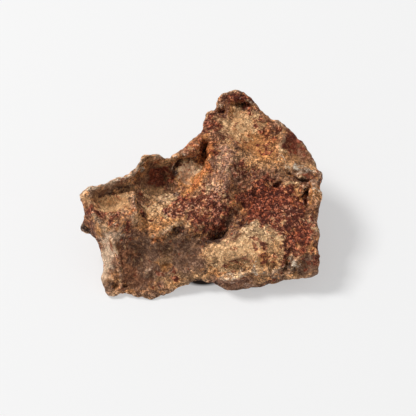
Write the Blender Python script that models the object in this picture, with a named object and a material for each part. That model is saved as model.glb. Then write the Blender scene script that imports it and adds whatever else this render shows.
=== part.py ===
"""A weathered iron meteorite: one natural lump of nickel-iron, lying on a table.

The lump is laid out on a drawing of its show side. The drawing leans back from the table by
DRAWING_LEAN, and every corner of the lump is three numbers in millimetres: how far across the
drawing it is, how far up the drawing, and how high it stands above the table.
"""

import math

import bmesh
import bpy
import numpy as np
from mathutils import Vector, noise
from mathutils.bvhtree import BVHTree
from mathutils.geometry import delaunay_2d_cdt

# Driving dimensions, in millimetres and degrees
DRAWING_LEAN = 50.0  # the drawing is square to a line of sight this far above the table
GRAIN = 0.6  # edge length of the even mesh that the pits are pressed into
SOFTENING = 8  # rounds of smoothing that take the knife edge off the cage's creases
FACES = 7200  # triangles left once the even mesh is thinned out
RIM = 2.2  # thickness of the lump along the line of sight, all round its outline
TABLE = 0.15  # everything of the cage below this height is worn flat where the lump rests

MM = 0.001
RISE = math.sin(math.radians(DRAWING_LEAN))  # drawing height gained per millimetre of depth
LIFT = math.cos(math.radians(DRAWING_LEAN))  # drawing height gained per millimetre of height
SIGHT = Vector((0.0, -LIFT, RISE))  # from the lump towards whoever looks at the drawing

# The outline, clockwise from the left corner: (across, up the drawing, height above the table)
OUTLINE = [
    # left corner and the rim along the top of the left block
    (-27.0, 23.3, 16.5), (-26.3, 24.8, 18.5), (-23.5, 25.0, 18.5), (-20.5, 26.3, 19.0),
    (-16.6, 27.5, 19.0), (-14.4, 29.2, 19.5), (-13.3, 31.4, 21.0), (-12.0, 32.5, 21.5),
    (-10.2, 32.6, 21.5), (-9.0, 32.0, 20.5),
    # saddle, the middle knob and the climb to the peak
    (-6.8, 31.9, 19.0), (-5.0, 32.8, 18.5), (-2.4, 35.0, 18.9), (-0.3, 36.7, 18.9),
    (0.5, 39.0, 19.0), (1.7, 42.0, 19.5), (4.1, 43.1, 19.5), (4.0, 44.8, 21.0),
    # the peak and the long right shoulder
    (5.2, 46.9, 22.5), (8.8, 47.1, 22.5), (11.6, 45.2, 21.0), (14.8, 41.5, 19.5),
    (18.8, 39.6, 18.5), (21.1, 37.4, 17.5), (23.5, 35.2, 16.5), (25.4, 31.6, 15.0),
    (27.6, 28.0, 14.5),
    # scalloped right edge
    (27.3, 25.0, 14.0), (27.7, 22.6, 13.5), (27.0, 19.6, 12.5), (26.6, 16.8, 11.5),
    (27.3, 14.0, 10.5), (26.4, 11.5, 9.5), (26.6, 9.6, 8.5), (27.2, 8.0, 7.0),
    (26.5, 6.2, 5.5), (25.5, 5.0, 4.5),
    # underside edge, the right foot, the arch and the left foot
    (20.5, 4.3, 3.5), (14.0, 2.7, 1.5), (10.5, 1.8, 0.5), (7.0, 1.3, -0.3), (5.0, 2.1, 0.6),
    (2.0, 3.4, 2.0), (-0.7, 4.0, 2.6), (-4.0, 2.8, 1.8), (-8.0, 0.8, 0.4), (-11.0, -0.3, -0.3),
    (-14.5, 0.3, 0.1), (-18.0, 1.0, 0.9), (-20.3, 0.5, 0.5),
    # the left wall and its spur
    (-21.4, 2.0, 1.5), (-22.3, 4.5, 3.0), (-21.8, 7.0, 5.0), (-21.7, 8.4, 6.0),
    (-22.3, 10.5, 7.5), (-23.2, 13.2, 9.0), (-24.0, 14.4, 9.5), (-27.6, 14.7, 7.5),
    (-27.0, 16.3, 8.5), (-25.8, 17.4, 11.0), (-25.8, 18.8, 13.0), (-26.9, 20.5, 15.5),
]

# Corners on the show side, by area
SHOW_SIDE = [
    # left block: its rim, the bowl behind the rim, and the bowl's front lip
    (-25.0, 22.6, 18.2), (-23.8, 18.6, 16.5), (-22.6, 24.0, 18.4), (-18.6, 25.8, 18.6),
    (-22.0, 22.4, 15.4), (-19.2, 24.3, 16.0), (-19.0, 21.5, 15.3), (-20.0, 19.0, 15.7),
    (-15.3, 25.2, 16.6), (-14.9, 22.5, 17.2), (-14.6, 19.5, 16.8), (-15.0, 17.5, 16.2),
    (-19.5, 16.4, 15.8), (-22.4, 16.4, 15.0),
    # second bowl: steep back wall, flat floor, front lip
    (-13.5, 27.8, 16.6), (-10.5, 31.0, 19.6), (-10.5, 27.5, 15.0), (-7.5, 30.9, 18.2),
    (-7.0, 27.8, 15.0), (-11.5, 24.0, 13.2), (-7.5, 23.5, 13.2), (-12.5, 20.0, 13.6),
    (-8.5, 19.0, 13.4), (-12.5, 16.0, 13.4), (-9.0, 15.3, 13.2), (-6.8, 16.8, 13.2),
    # pocket under the middle knob, and the knob
    (-5.6, 29.6, 16.4), (-3.0, 30.4, 15.4), (-2.5, 28.0, 14.6), (-4.0, 25.4, 14.0),
    (-1.0, 25.0, 14.4), (-0.3, 30.4, 15.4), (2.4, 33.0, 18.2), (1.6, 28.5, 16.6),
    (-3.2, 32.4, 19.4), (-1.2, 33.6, 20.0), (0.3, 33.0, 17.8),
    # long grey ridge down the middle
    (3.0, 36.5, 20.1), (2.4, 39.5, 20.4), (3.0, 41.8, 20.4), (5.5, 35.0, 20.2),
    (6.0, 30.0, 19.2), (5.5, 25.0, 17.3), (3.0, 21.5, 15.3), (2.5, 26.0, 16.6),
    (-3.5, 20.5, 14.2), (0.5, 17.0, 13.2), (3.0, 17.6, 13.4),
    # dish of the right shoulder, with the peak's cap above it
    (6.0, 41.5, 19.6), (9.0, 38.5, 18.5), (12.5, 34.5, 17.4), (10.0, 30.5, 17.6),
    (15.5, 37.0, 17.5), (16.0, 31.5, 16.7), (12.5, 41.0, 19.3), (19.0, 37.2, 17.9),
    (18.8, 33.0, 17.4), (22.0, 33.5, 16.0), (23.0, 30.9, 15.2), (5.0, 44.8, 21.8),
    (7.5, 45.5, 22.3), (10.5, 44.6, 21.2), (9.0, 43.3, 19.7), (4.9, 42.6, 19.7),
    # flake, pits and lips at the right edge
    (18.6, 30.3, 16.4), (22.0, 29.2, 16.0), (24.8, 28.3, 15.4), (22.0, 26.9, 14.2),
    (18.0, 25.7, 13.5), (21.5, 25.6, 14.4), (25.6, 25.0, 14.9), (23.8, 23.0, 12.8),
    (25.8, 21.5, 14.0), (24.6, 18.0, 12.8), (24.0, 13.0, 10.8), (24.6, 8.0, 7.6),
    # rusty hollow between the shoulder and the lower lobe
    (14.0, 26.5, 15.2), (13.0, 22.5, 13.7), (18.5, 22.0, 13.5), (20.5, 17.5, 12.5),
    (15.5, 18.0, 12.6), (21.0, 11.6, 10.3), (9.0, 25.0, 15.5), (8.5, 20.0, 12.9),
    # valley
    (6.0, 18.0, 11.8), (4.5, 14.2, 9.4), (1.5, 13.0, 9.3), (9.5, 17.3, 12.0),
    # lower lobe, its rim and the steep face under the rim
    (12.0, 16.0, 12.9), (8.0, 13.0, 11.1), (16.5, 13.0, 11.6), (4.0, 10.3, 9.3),
    (1.5, 9.0, 8.0), (9.5, 9.5, 9.4), (8.0, 7.0, 6.8), (13.0, 7.5, 7.9), (17.0, 8.0, 7.9),
    (7.0, 4.7, 4.8), (12.0, 5.8, 6.0), (2.5, 6.0, 5.0), (15.5, 4.6, 3.7), (19.5, 6.5, 6.2),
    (21.5, 8.0, 7.8), (7.5, 3.0, 2.0), (22.0, 6.0, 5.2),
    # front wall, and the ridge that parts it from the left facet
    (-21.4, 13.0, 11.2), (-19.0, 13.0, 12.1), (-18.5, 9.0, 8.7), (-17.9, 5.0, 4.8),
    (-18.6, 2.6, 2.0), (-15.5, 12.5, 10.5), (-14.5, 8.0, 6.4), (-15.0, 4.0, 3.0),
    (-11.0, 11.5, 9.5), (-10.0, 7.5, 6.0), (-11.5, 3.4, 3.0), (-8.0, 4.0, 3.3),
    (-6.0, 12.0, 9.4), (-5.0, 8.0, 6.2), (-3.5, 4.9, 4.1), (-1.0, 12.0, 9.0),
    (-0.5, 7.5, 6.2), (-3.5, 15.2, 12.0),
]

# Corners on the hidden side, from above: (across, depth from the front foot, height)
HIDDEN_SIDE = [
    # underside, with four low knobs that the lump rests on
    (-11.5, 2.6, -0.4), (-14.0, 5.0, 0.4), (-18.5, 5.5, 1.2), (-18.5, 11.0, 2.0),
    (-12.0, 14.5, -0.5), (-6.0, 9.0, 1.6), (-2.0, 6.5, 2.9), (7.5, 4.2, -0.5), (3.0, 8.0, 2.4),
    (12.0, 6.5, 1.2), (16.5, 10.0, 2.2), (21.0, 7.5, 3.0), (0.0, 14.5, 2.8), (8.0, 16.0, 1.8),
    (14.0, 20.5, 1.6), (-4.0, 21.0, 1.4), (6.5, 28.0, -0.5), (2.5, 29.0, -0.5),
    # right wall
    (23.5, 6.0, 2.8), (24.2, 12.5, 4.5), (20.5, 15.0, 1.6), (25.6, 19.5, 7.0), (22.0, 22.0, 2.6),
    # back wall, from the right shoulder round to the left block
    (23.0, 28.5, 8.0), (19.0, 28.0, 2.6), (18.2, 33.5, 9.0), (14.0, 32.5, 2.8),
    (13.6, 37.3, 11.5), (9.5, 39.0, 6.5), (8.0, 41.2, 14.5), (10.0, 35.0, 1.6),
    (4.0, 37.0, 6.0), (2.8, 38.6, 12.5), (3.8, 33.5, 1.2), (-1.0, 31.6, 11.0),
    (-1.5, 29.0, 5.0), (-5.0, 27.2, 11.0), (-6.0, 25.0, 4.0), (-10.0, 26.2, 12.0),
    (-12.4, 23.8, 6.5), (-9.0, 19.8, 1.6), (-15.4, 24.2, 12.0), (-17.5, 18.6, 4.8),
    (-21.0, 21.0, 12.5), (-21.5, 15.0, 5.0), (-24.8, 18.6, 12.2),
]

# Thumbprint hollows: (side seen from, place on that side, half sizes, turn in degrees, depth)
HOLLOWS = [
    # left block: floor of its bowl, and the recess that undercuts its rim
    ("show", (-19.5, 21.2), (4.2, 2.2), 10, 0.6), ("show", (-22.4, 22.8), (2.4, 1.2), 25, 0.5),
    ("show", (-17.6, 24.7), (2.8, 1.0), 15, 0.5), ("show", (-21.2, 8.0), (1.6, 5.0), 8, 0.4),
    # second bowl and the pocket
    ("show", (-9.6, 28.2), (3.4, 2.8), 0, 0.9), ("show", (-10.0, 20.8), (4.0, 4.0), 0, 0.5),
    ("show", (-2.8, 27.6), (2.1, 3.2), -35, 1.0), ("show", (-5.0, 15.4), (1.8, 1.6), 0, 0.6),
    # dish of the shoulder, the hollows at the peak and on the outer slope
    ("show", (12.0, 36.2), (5.5, 5.0), 0, 0.8), ("show", (9.8, 43.7), (2.3, 0.9), -8, 0.8),
    ("show", (4.6, 42.3), (1.2, 1.2), 0, 0.6), ("show", (22.2, 33.2), (2.4, 4.4), 30, 0.6),
    # pits and bites at the right edge
    ("show", (22.0, 26.6), (2.5, 1.1), -10, 0.7), ("show", (17.9, 25.6), (1.5, 1.3), 20, 0.9),
    ("show", (23.7, 23.0), (0.9, 2.2), -15, 1.0), ("show", (26.6, 18.0), (1.6, 2.0), 0, 0.6),
    ("show", (26.6, 11.8), (1.4, 1.5), 0, 0.5),
    # rusty hollow, valley and lower lobe
    ("show", (15.0, 21.2), (6.0, 4.2), 0, 0.6), ("show", (3.6, 14.2), (3.0, 1.5), 25, 0.8),
    ("show", (7.6, 18.6), (1.6, 3.0), -35, 0.6), ("show", (8.0, 7.2), (2.9, 1.3), 8, 0.7),
    ("show", (15.6, 8.6), (3.0, 2.0), 0, 0.4),
    # front wall
    ("show", (-14.6, 9.4), (3.2, 4.2), 0, 0.9), ("show", (-7.2, 10.6), (3.4, 2.8), 0, 0.8),
    ("show", (-1.4, 9.6), (2.8, 3.0), 0, 0.7), ("show", (-12.6, 4.8), (2.4, 1.6), 0, 0.5),
    ("show", (-8.0, 7.6), (1.5, 0.9), -10, 0.6),
    # back wall
    ("back", (19.0, 9.5), (4.2, 5.0), 0, 1.3), ("back", (9.5, 14.0), (3.8, 4.5), 20, 1.1),
    ("back", (3.0, 8.0), (3.6, 4.2), 0, 1.1), ("back", (-4.0, 12.0), (3.4, 4.0), -20, 1.0),
    ("back", (-9.5, 6.5), (3.8, 3.4), 0, 1.2), ("back", (-13.0, 15.0), (3.0, 3.2), 0, 0.8),
    ("back", (-20.5, 12.5), (3.4, 4.2), 15, 1.0), ("back", (13.0, 4.5), (3.2, 2.8), 0, 0.9),
    # right wall
    ("right", (20.5, 8.5), (3.8, 3.4), 20, 1.0), ("right", (12.5, 6.0), (3.0, 2.6), 10, 0.8),
    ("right", (28.0, 9.0), (2.8, 3.6), 0, 0.8), ("right", (7.0, 4.0), (1.9, 1.5), 0, 0.5),
    # left wall behind the spur
    ("left", (15.0, 13.5), (2.2, 2.6), 0, 0.7), ("left", (9.0, 3.2), (3.2, 1.8), 10, 0.8),
    # underside
    ("under", (-5.0, 14.0), (4.0, 4.6), 0, 1.0), ("under", (14.0, 13.0), (4.2, 3.4), 0, 0.9),
    ("under", (13.5, 26.0), (3.8, 4.4), 30, 1.0), ("under", (2.0, 20.0), (3.4, 4.0), 0, 0.8),
    ("under", (-15.0, 9.5), (2.6, 3.0), 0, 0.7), ("under", (21.0, 19.5), (2.6, 3.6), 0, 0.8),
]

# Crests and grooves: (side, the line they follow, half width, height; below zero cuts in)
CRESTS = [
    ("show", [(-26.0, 24.0), (-22.5, 24.8), (-18.0, 26.3), (-15.2, 27.9), (-13.4, 31.0)], 1.0, 0.5),
    ("show", [(-15.2, 25.2), (-14.9, 22.0), (-14.6, 18.0)], 0.9, 0.5),
    ("show", [(-13.7, 24.6), (-13.5, 22.0), (-13.6, 19.6)], 0.9, -0.5),
    ("show", [(-12.2, 14.6), (-9.0, 14.4), (-7.3, 15.6), (-6.4, 17.0)], 0.9, 0.5),
    ("show", [(-23.0, 16.0), (-19.4, 12.5), (-18.6, 9.0), (-17.8, 5.0), (-18.2, 3.0)], 1.0, 0.4),
    ("show", [(-5.6, 31.0), (-5.8, 29.0), (-5.6, 27.0)], 0.9, 0.4),
    ("show", [(-4.6, 31.9), (-2.8, 32.6), (-1.2, 33.8), (-0.6, 35.4)], 1.4, 0.8),
    ("show", [(-5.2, 30.3), (-2.6, 31.0), (-0.2, 31.8)], 0.8, -0.7),
    ("show", [(2.2, 36.5), (2.5, 32.5), (1.2, 28.5), (-1.0, 25.0)], 1.2, 0.7),
    ("show", [(0.9, 35.4), (1.1, 33.4), (0.5, 31.6)], 0.9, -1.5),
    ("show", [(4.2, 37.5), (6.0, 33.0), (6.2, 28.0), (4.6, 22.5)], 2.4, 0.5),
    ("show", [(18.2, 31.0), (18.8, 34.5), (19.5, 38.2)], 1.1, 0.45),
    ("show", [(19.4, 29.7), (22.0, 29.3), (25.2, 28.2)], 1.0, 0.6),
    ("show", [(25.5, 26.2), (25.8, 23.5), (25.5, 21.2)], 0.9, 0.5),
    ("show", [(2.0, 5.6), (5.0, 4.8), (8.0, 4.9), (10.5, 5.6), (13.4, 6.4)], 1.1, 0.8),
    ("show", [(13.4, 6.4), (16.5, 5.6), (19.6, 6.0)], 1.0, 0.5),
    ("show", [(1.4, 9.0), (2.0, 11.0), (5.0, 12.6), (8.5, 14.6), (11.5, 16.6)], 1.4, 0.7),
    ("show", [(19.2, 8.6), (19.5, 7.2), (19.3, 6.0)], 0.8, -0.7),
    ("show", [(19.8, 5.6), (21.0, 7.5), (22.3, 8.7)], 0.9, 0.5),
    ("show", [(9.6, 19.6), (9.6, 17.6), (9.0, 16.2)], 0.9, -0.5),
    ("back", [(14.5, 18.0), (14.0, 12.0), (16.0, 6.0), (17.0, 2.5)], 1.3, 0.7),
    ("back", [(-1.0, 17.0), (-0.5, 10.0), (0.5, 4.0)], 1.2, 0.6),
    ("back", [(-16.5, 18.0), (-16.8, 12.0), (-14.0, 5.0)], 1.2, 0.6),
    ("right", [(24.5, 12.5), (24.0, 7.0), (22.5, 3.5)], 1.2, 0.5),
    ("under", [(-9.0, 8.0), (-9.5, 14.0), (-4.0, 20.0)], 1.3, 0.6),
    ("under", [(8.5, 8.0), (8.0, 16.0), (8.0, 24.0)], 1.3, 0.6),
]

# Lumps and dimples that nothing else names: (size across, height), laid on every side
UNEVENNESS = [(9.0, 0.5), (4.0, 0.36), (2.2, 0.16)]


def on_drawing(across, up, height):
    """The point of the lump, in metres, that a corner's three numbers stand for."""
    depth = (up - height * LIFT) / RISE
    return Vector((across, depth, height)) * MM


def from_above(across, depth, height):
    return Vector((across, depth, height)) * MM


def sheet_faces(points):
    """Triangles through the points as the drawing shows them; the first ones are the outline."""
    flat = [Vector((point.x, point.y * RISE + point.z * LIFT)) / MM for point in points]
    ring = list(range(len(OUTLINE)))
    inside_only = 1
    found = delaunay_2d_cdt(flat, [], [ring], inside_only, 1e-6)
    sources = [kept[0] for kept in found[3]]
    return [[sources[i] for i in face] for face in found[2]]


def cage():
    """The closed cage: the show side and the hidden side, with a rim between their two rings."""
    mesh = bmesh.new()
    show_corners = [on_drawing(*corner) for corner in SHOW_SIDE]
    hidden_corners = [from_above(*corner) for corner in HIDDEN_SIDE]
    rings = []
    for corners, outwards in ((show_corners, SIGHT), (hidden_corners, -SIGHT)):
        ring = [on_drawing(*point) + outwards * RIM / 2 * MM for point in OUTLINE]
        verts = [mesh.verts.new(point) for point in ring + corners]
        rings.append(verts[: len(OUTLINE)])
        for face in sheet_faces(ring + corners):
            mesh.faces.new([verts[i] for i in face])
    show, hidden = rings
    for i in range(len(OUTLINE)):
        mesh.faces.new((show[i - 1], show[i], hidden[i], hidden[i - 1]))
    bmesh.ops.recalc_face_normals(mesh, faces=mesh.faces)
    return mesh


def object_from(mesh, name):
    data = bpy.data.meshes.new(name)
    mesh.to_mesh(data)
    mesh.free()
    made = bpy.data.objects.new(name, data)
    bpy.context.scene.collection.objects.link(made)
    return made


def bake_modifiers(obj):
    """Replaces the object's mesh by what its modifiers make of it."""
    graph = bpy.context.evaluated_depsgraph_get()
    made = bpy.data.meshes.new_from_object(obj.evaluated_get(graph))
    obj.modifiers.clear()
    obj.data = made


def keep_largest_piece(obj):
    """Drops the crumbs that the even mesh leaves at corners thinner than its grain."""
    mesh = bmesh.new()
    mesh.from_mesh(obj.data)
    left = set(mesh.verts)
    pieces = []
    while left:
        piece = {left.pop()}
        edge_of_piece = list(piece)
        while edge_of_piece:
            for edge in edge_of_piece.pop().link_edges:
                for vert in edge.verts:
                    if vert in left:
                        left.discard(vert)
                        piece.add(vert)
                        edge_of_piece.append(vert)
        pieces.append(piece)
    pieces.sort(key=len)
    for piece in pieces[:-1]:
        bmesh.ops.delete(mesh, geom=list(piece), context="VERTS")
    mesh.to_mesh(obj.data)
    mesh.free()


def even_mesh(obj, edge):
    remesh = obj.modifiers.new("even mesh", "REMESH")
    remesh.mode = "VOXEL"
    remesh.voxel_size = edge * MM
    remesh.adaptivity = 0.0
    soften = obj.modifiers.new("soften", "SMOOTH")
    soften.factor = 0.5
    soften.iterations = SOFTENING
    bake_modifiers(obj)


def line_of_sight(side, place):
    """Where a look at that side starts, outside the lump, and which way it goes."""
    a, b = (number * MM for number in place)
    away = 0.1
    if side == "show":
        return Vector((a, b / RISE, 0.0)) + SIGHT * away, -SIGHT
    return {
        "back": (Vector((a, away, b)), Vector((0, -1, 0))),
        "right": (Vector((away, a, b)), Vector((-1, 0, 0))),
        "left": (Vector((-away, a, b)), Vector((1, 0, 0))),
        "under": (Vector((a, b, -away)), Vector((0, 0, 1))),
    }[side]


class Clay:
    """The lump's mesh as arrays in millimetres, for pressing and raising its surface."""

    def __init__(self, obj):
        self.data = obj.data
        self.read()

    def read(self):
        count = len(self.data.vertices)
        self.at = np.empty(count * 3)
        self.data.vertices.foreach_get("co", self.at)
        self.at = self.at.reshape(-1, 3) / MM
        self.normal = np.empty(count * 3)
        self.data.vertex_normals.foreach_get("vector", self.normal)
        self.normal = self.normal.reshape(-1, 3)

    def move(self, offset):
        self.at += offset
        self.data.vertices.foreach_set("co", (self.at * MM).ravel())
        self.data.update()
        self.read()

    def tree(self):
        mesh = bmesh.new()
        mesh.from_mesh(self.data)
        found = BVHTree.FromBMesh(mesh)
        mesh.free()
        return found

    def spot(self, tree, side, place, reach):
        """The point of the surface at that place, and the way the surface faces round it."""
        start, way = line_of_sight(side, place)
        hit = tree.ray_cast(start, way)[0]
        if hit is None:
            raise ValueError(f"nothing of the lump lies at {place} on its {side} side")
        centre = np.array(hit) / MM
        near = np.linalg.norm(self.at - centre, axis=1) < reach
        near &= self.normal @ np.array(way) < 0
        facing = self.normal[near].sum(0)
        return centre, facing / np.linalg.norm(facing)

    def press(self, tree, side, place, half_sizes, turn, depth):
        """A hollow with a fairly crisp rim, as a thumb leaves in clay."""
        reach = max(half_sizes)
        centre, facing = self.spot(tree, side, place, reach)
        sideways = np.cross((0.0, 0.0, 1.0) if abs(facing[2]) < 0.9 else (0.0, 1.0, 0.0), facing)
        sideways /= np.linalg.norm(sideways)
        upwards = np.cross(facing, sideways)
        angle = math.radians(turn)
        along = sideways * math.cos(angle) + upwards * math.sin(angle)
        over = upwards * math.cos(angle) - sideways * math.sin(angle)
        offset = self.at - centre
        share = ((offset @ along) / half_sizes[0]) ** 2 + ((offset @ over) / half_sizes[1]) ** 2
        level = np.clip(1 - (np.abs(offset @ facing) / (1.3 * reach)) ** 2, 0, 1)
        faces_it = np.clip(self.normal @ facing * 2, 0, 1)
        weight = np.clip(1 - share, 0, 1) ** 1.3 * level * faces_it
        self.move(-depth * weight[:, None] * facing)

    def raise_line(self, tree, side, line, half_width, height):
        """A crest along the line, or a groove where height is below zero. It fades at both ends."""
        spots = [self.spot(tree, side, place, half_width * 2) for place in line]
        nearest = np.full(len(self.at), np.inf)
        facing = np.zeros_like(self.at)
        fade = np.zeros(len(self.at))
        steps = len(spots) - 1
        for i, ((start, start_way), (end, end_way)) in enumerate(zip(spots, spots[1:])):
            run = end - start
            part = np.clip((self.at - start) @ run / (run @ run), 0, 1)
            gap = np.linalg.norm(self.at - start - part[:, None] * run, axis=1)
            closer = gap < nearest
            nearest[closer] = gap[closer]
            way = start_way + part[:, None] * (end_way - start_way)
            facing[closer] = way[closer]
            along = (i + part) / steps
            fade[closer] = (4 * along * (1 - along))[closer] ** 0.5
        facing /= np.maximum(np.linalg.norm(facing, axis=1), 1e-9)[:, None]
        weight = np.clip(1 - (nearest / half_width) ** 2, 0, 1) ** 1.5 * np.maximum(fade, 0.35)
        weight *= np.clip((self.normal * facing).sum(1) * 2, 0, 1)
        self.move(height * weight[:, None] * facing)

    def roughen(self, size, height):
        """Lumps and dimples of about that size, at random but the same each time."""
        shift = Vector((size, 2 * size, 3 * size))
        waves = [noise.noise(Vector(point) / size * 2 + shift) for point in self.at]
        self.move(height * np.array(waves)[:, None] * self.normal)


def shape_surface(lump):
    clay = Clay(lump)
    for size, height in UNEVENNESS[:1]:
        clay.roughen(size, height)
    tree = clay.tree()
    for side, place, half_sizes, turn, depth in HOLLOWS:
        clay.press(tree, side, place, half_sizes, turn, depth)
    for side, line, half_width, height in CRESTS:
        clay.raise_line(tree, side, line, half_width, height)
    for size, height in UNEVENNESS[1:]:
        clay.roughen(size, height)


def thin_out(obj, faces):
    thinner = obj.modifiers.new("thin out", "DECIMATE")
    thinner.ratio = faces / len(obj.data.polygons) / 2
    thinner.use_collapse_triangulate = True
    bake_modifiers(obj)


def wear_flat(obj, height):
    """Cut the lump level at that height and close it with flat resting pads."""
    mesh = bmesh.new()
    mesh.from_mesh(obj.data)
    everything = list(mesh.verts) + list(mesh.edges) + list(mesh.faces)
    bmesh.ops.bisect_plane(
        mesh,
        geom=everything,
        dist=1e-7,
        plane_co=(0.0, 0.0, height * MM),
        plane_no=(0.0, 0.0, -1.0),
        clear_outer=True,
    )
    bmesh.ops.dissolve_degenerate(mesh, edges=mesh.edges, dist=0.05 * MM)
    open_edges = [edge for edge in mesh.edges if edge.is_boundary]
    pads = bmesh.ops.holes_fill(mesh, edges=open_edges, sides=0)["faces"]
    for pad in pads:
        for vert in pad.verts:
            vert.co.z = height * MM
    bmesh.ops.triangulate(mesh, faces=mesh.faces)
    bmesh.ops.recalc_face_normals(mesh, faces=mesh.faces)
    mesh.to_mesh(obj.data)
    mesh.free()


def stand_on_origin(obj):
    """The middle of the bounding box's floor goes to the origin."""
    low, high = (Vector(map(pick, *(vert.co for vert in obj.data.vertices))) for pick in (min, max))
    middle = Vector(((low.x + high.x) / 2, (low.y + high.y) / 2, low.z))
    for vert in obj.data.vertices:
        vert.co -= middle


def rusty_iron():
    material = bpy.data.materials.new("weathered iron")
    material.use_nodes = True
    shader = material.node_tree.nodes["Principled BSDF"]
    shader.inputs["Base Color"].default_value = (0.165, 0.082, 0.042, 1.0)
    shader.inputs["Roughness"].default_value = 0.62
    shader.inputs["Metallic"].default_value = 0.25
    return material


def main():
    for obj in list(bpy.data.objects):
        bpy.data.objects.remove(obj)
    lump = object_from(cage(), "meteorite")
    even_mesh(lump, GRAIN)
    keep_largest_piece(lump)
    shape_surface(lump)
    thin_out(lump, FACES)
    wear_flat(lump, TABLE)
    stand_on_origin(lump)
    lump.data.polygons.foreach_set("use_smooth", [True] * len(lump.data.polygons))
    lump.data.materials.append(rusty_iron())


main()
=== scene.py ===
# %% [markdown]
# # A weathered iron meteorite
#
# The real thing is one natural lump of nickel-iron that fell, lay in the ground and rusted. It has
# thumbprint hollows, a raised peak, a scalloped edge, and a crust that goes from bare grey metal
# through straw, ochre and orange to dark maroon. There is nothing to assemble, so the whole lesson
# is about surface: first its fine shape, then its colours, then how it takes the light.
#
# The plain solid of the lump comes from the CAD frame. Everything here is laid over that solid.

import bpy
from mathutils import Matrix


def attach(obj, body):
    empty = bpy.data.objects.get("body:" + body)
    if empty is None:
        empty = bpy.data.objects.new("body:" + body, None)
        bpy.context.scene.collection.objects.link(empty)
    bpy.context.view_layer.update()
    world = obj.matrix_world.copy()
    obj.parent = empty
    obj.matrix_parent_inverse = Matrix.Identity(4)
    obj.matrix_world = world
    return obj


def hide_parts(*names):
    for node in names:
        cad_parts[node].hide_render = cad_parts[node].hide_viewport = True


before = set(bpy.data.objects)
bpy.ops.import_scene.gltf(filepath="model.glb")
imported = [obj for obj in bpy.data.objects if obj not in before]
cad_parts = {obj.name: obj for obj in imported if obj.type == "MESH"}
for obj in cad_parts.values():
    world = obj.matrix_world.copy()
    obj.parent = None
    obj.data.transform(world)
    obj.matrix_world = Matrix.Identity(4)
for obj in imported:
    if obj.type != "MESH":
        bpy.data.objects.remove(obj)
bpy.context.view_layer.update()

# %% [markdown]
# ## Working in millimetres on a leaning drawing
#
# A lump has no edges to measure from, so places on it need a map. The show side is mapped by a
# drawing that leans back from the table, square to a line of sight fifty degrees above it. A place
# is then two numbers in millimetres: how far across and how far up the drawing. The back and the
# underside have nothing that must lie in one place, so noise and measured hollows do for them.

# %% Imports and the drawing
import math

import bmesh
import bpy
import numpy as np
from mathutils import Vector, noise
from mathutils.bvhtree import BVHTree

MM = 0.001
LEAN = math.radians(50.0)
RISE, LIFT = math.sin(LEAN), math.cos(LEAN)
SIGHT = Vector((0.0, -LIFT, RISE))  # from the lump towards the eye
DRAWING_FOOT = Vector((-0.287, -21.369, -0.15)) * MM  # the drawing's zero, on the table
OUTSIDE = 0.1  # metres away from the lump, where a look starts
NEAR_MISS = 1.6  # mm past the outline that a look may miss by


def line_of_sight(place):
    """Where a look at that place of the drawing starts, and which way it goes."""
    across, up = (number * MM for number in place)
    return DRAWING_FOOT + Vector((across, up / RISE, 0.0)) + SIGHT * OUTSIDE, -SIGHT


print("the drawing leans", round(math.degrees(LEAN)), "degrees")

# %% [markdown]
# ## The fine mesh
#
# The CAD solid has about seven thousand triangles, enough for its size and its big hollows. The
# crust needs detail a quarter of a millimetre wide. The usual way by hand is to copy the mesh,
# merge its loose corners, give it an even mesh with the Remesh modifier, and smooth away the facets
# of the coarse solid. A sculptor would do the same before the first stroke.

# %% Copy, merge, remesh and smooth
GRID = 0.275  # mm between the corners of the fine mesh


def select_only(obj):
    bpy.ops.object.select_all(action="DESELECT")
    obj.select_set(True)
    bpy.context.view_layer.objects.active = obj


def apply_modifier(obj, name, kind, **settings):
    modifier = obj.modifiers.new(name, kind)
    for key, value in settings.items():
        setattr(modifier, key, value)
    select_only(obj)
    bpy.ops.object.modifier_apply(modifier=modifier.name)


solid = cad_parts["meteorite"]
stone = bpy.data.objects.new("meteorite_crust", solid.data.copy())
bpy.context.scene.collection.objects.link(stone)
stone.data.materials.clear()
select_only(stone)
bpy.ops.object.mode_set(mode="EDIT")
bpy.ops.mesh.select_all(action="SELECT")
bpy.ops.mesh.remove_doubles(threshold=0.01 * MM)
bpy.ops.object.mode_set(mode="OBJECT")
apply_modifier(stone, "even mesh", "REMESH", mode="VOXEL", voxel_size=GRID * MM)
apply_modifier(stone, "facets away", "SMOOTH", factor=0.5, iterations=6)
print("fine mesh:", len(stone.data.vertices), "corners")

# %% [markdown]
# ## Brushes that need no window
#
# Blender's sculpt brushes only work with a mouse in a window. A script can do what they do: find the
# spot on the surface with a ray, weigh every corner by how near it is, and push the corners along
# the way the surface faces. Two brushes are enough here. A dab presses an oval hollow or raises an
# oval lump, and a stroke does the same along a line, which makes ridges, cracks and slits. Both
# only touch what faces the same way, so a dab on the show side can't reach through to the back.


# %% The surface as arrays
def unit(vectors):
    return vectors / np.maximum(np.linalg.norm(vectors, axis=-1, keepdims=True), 1e-9)


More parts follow.
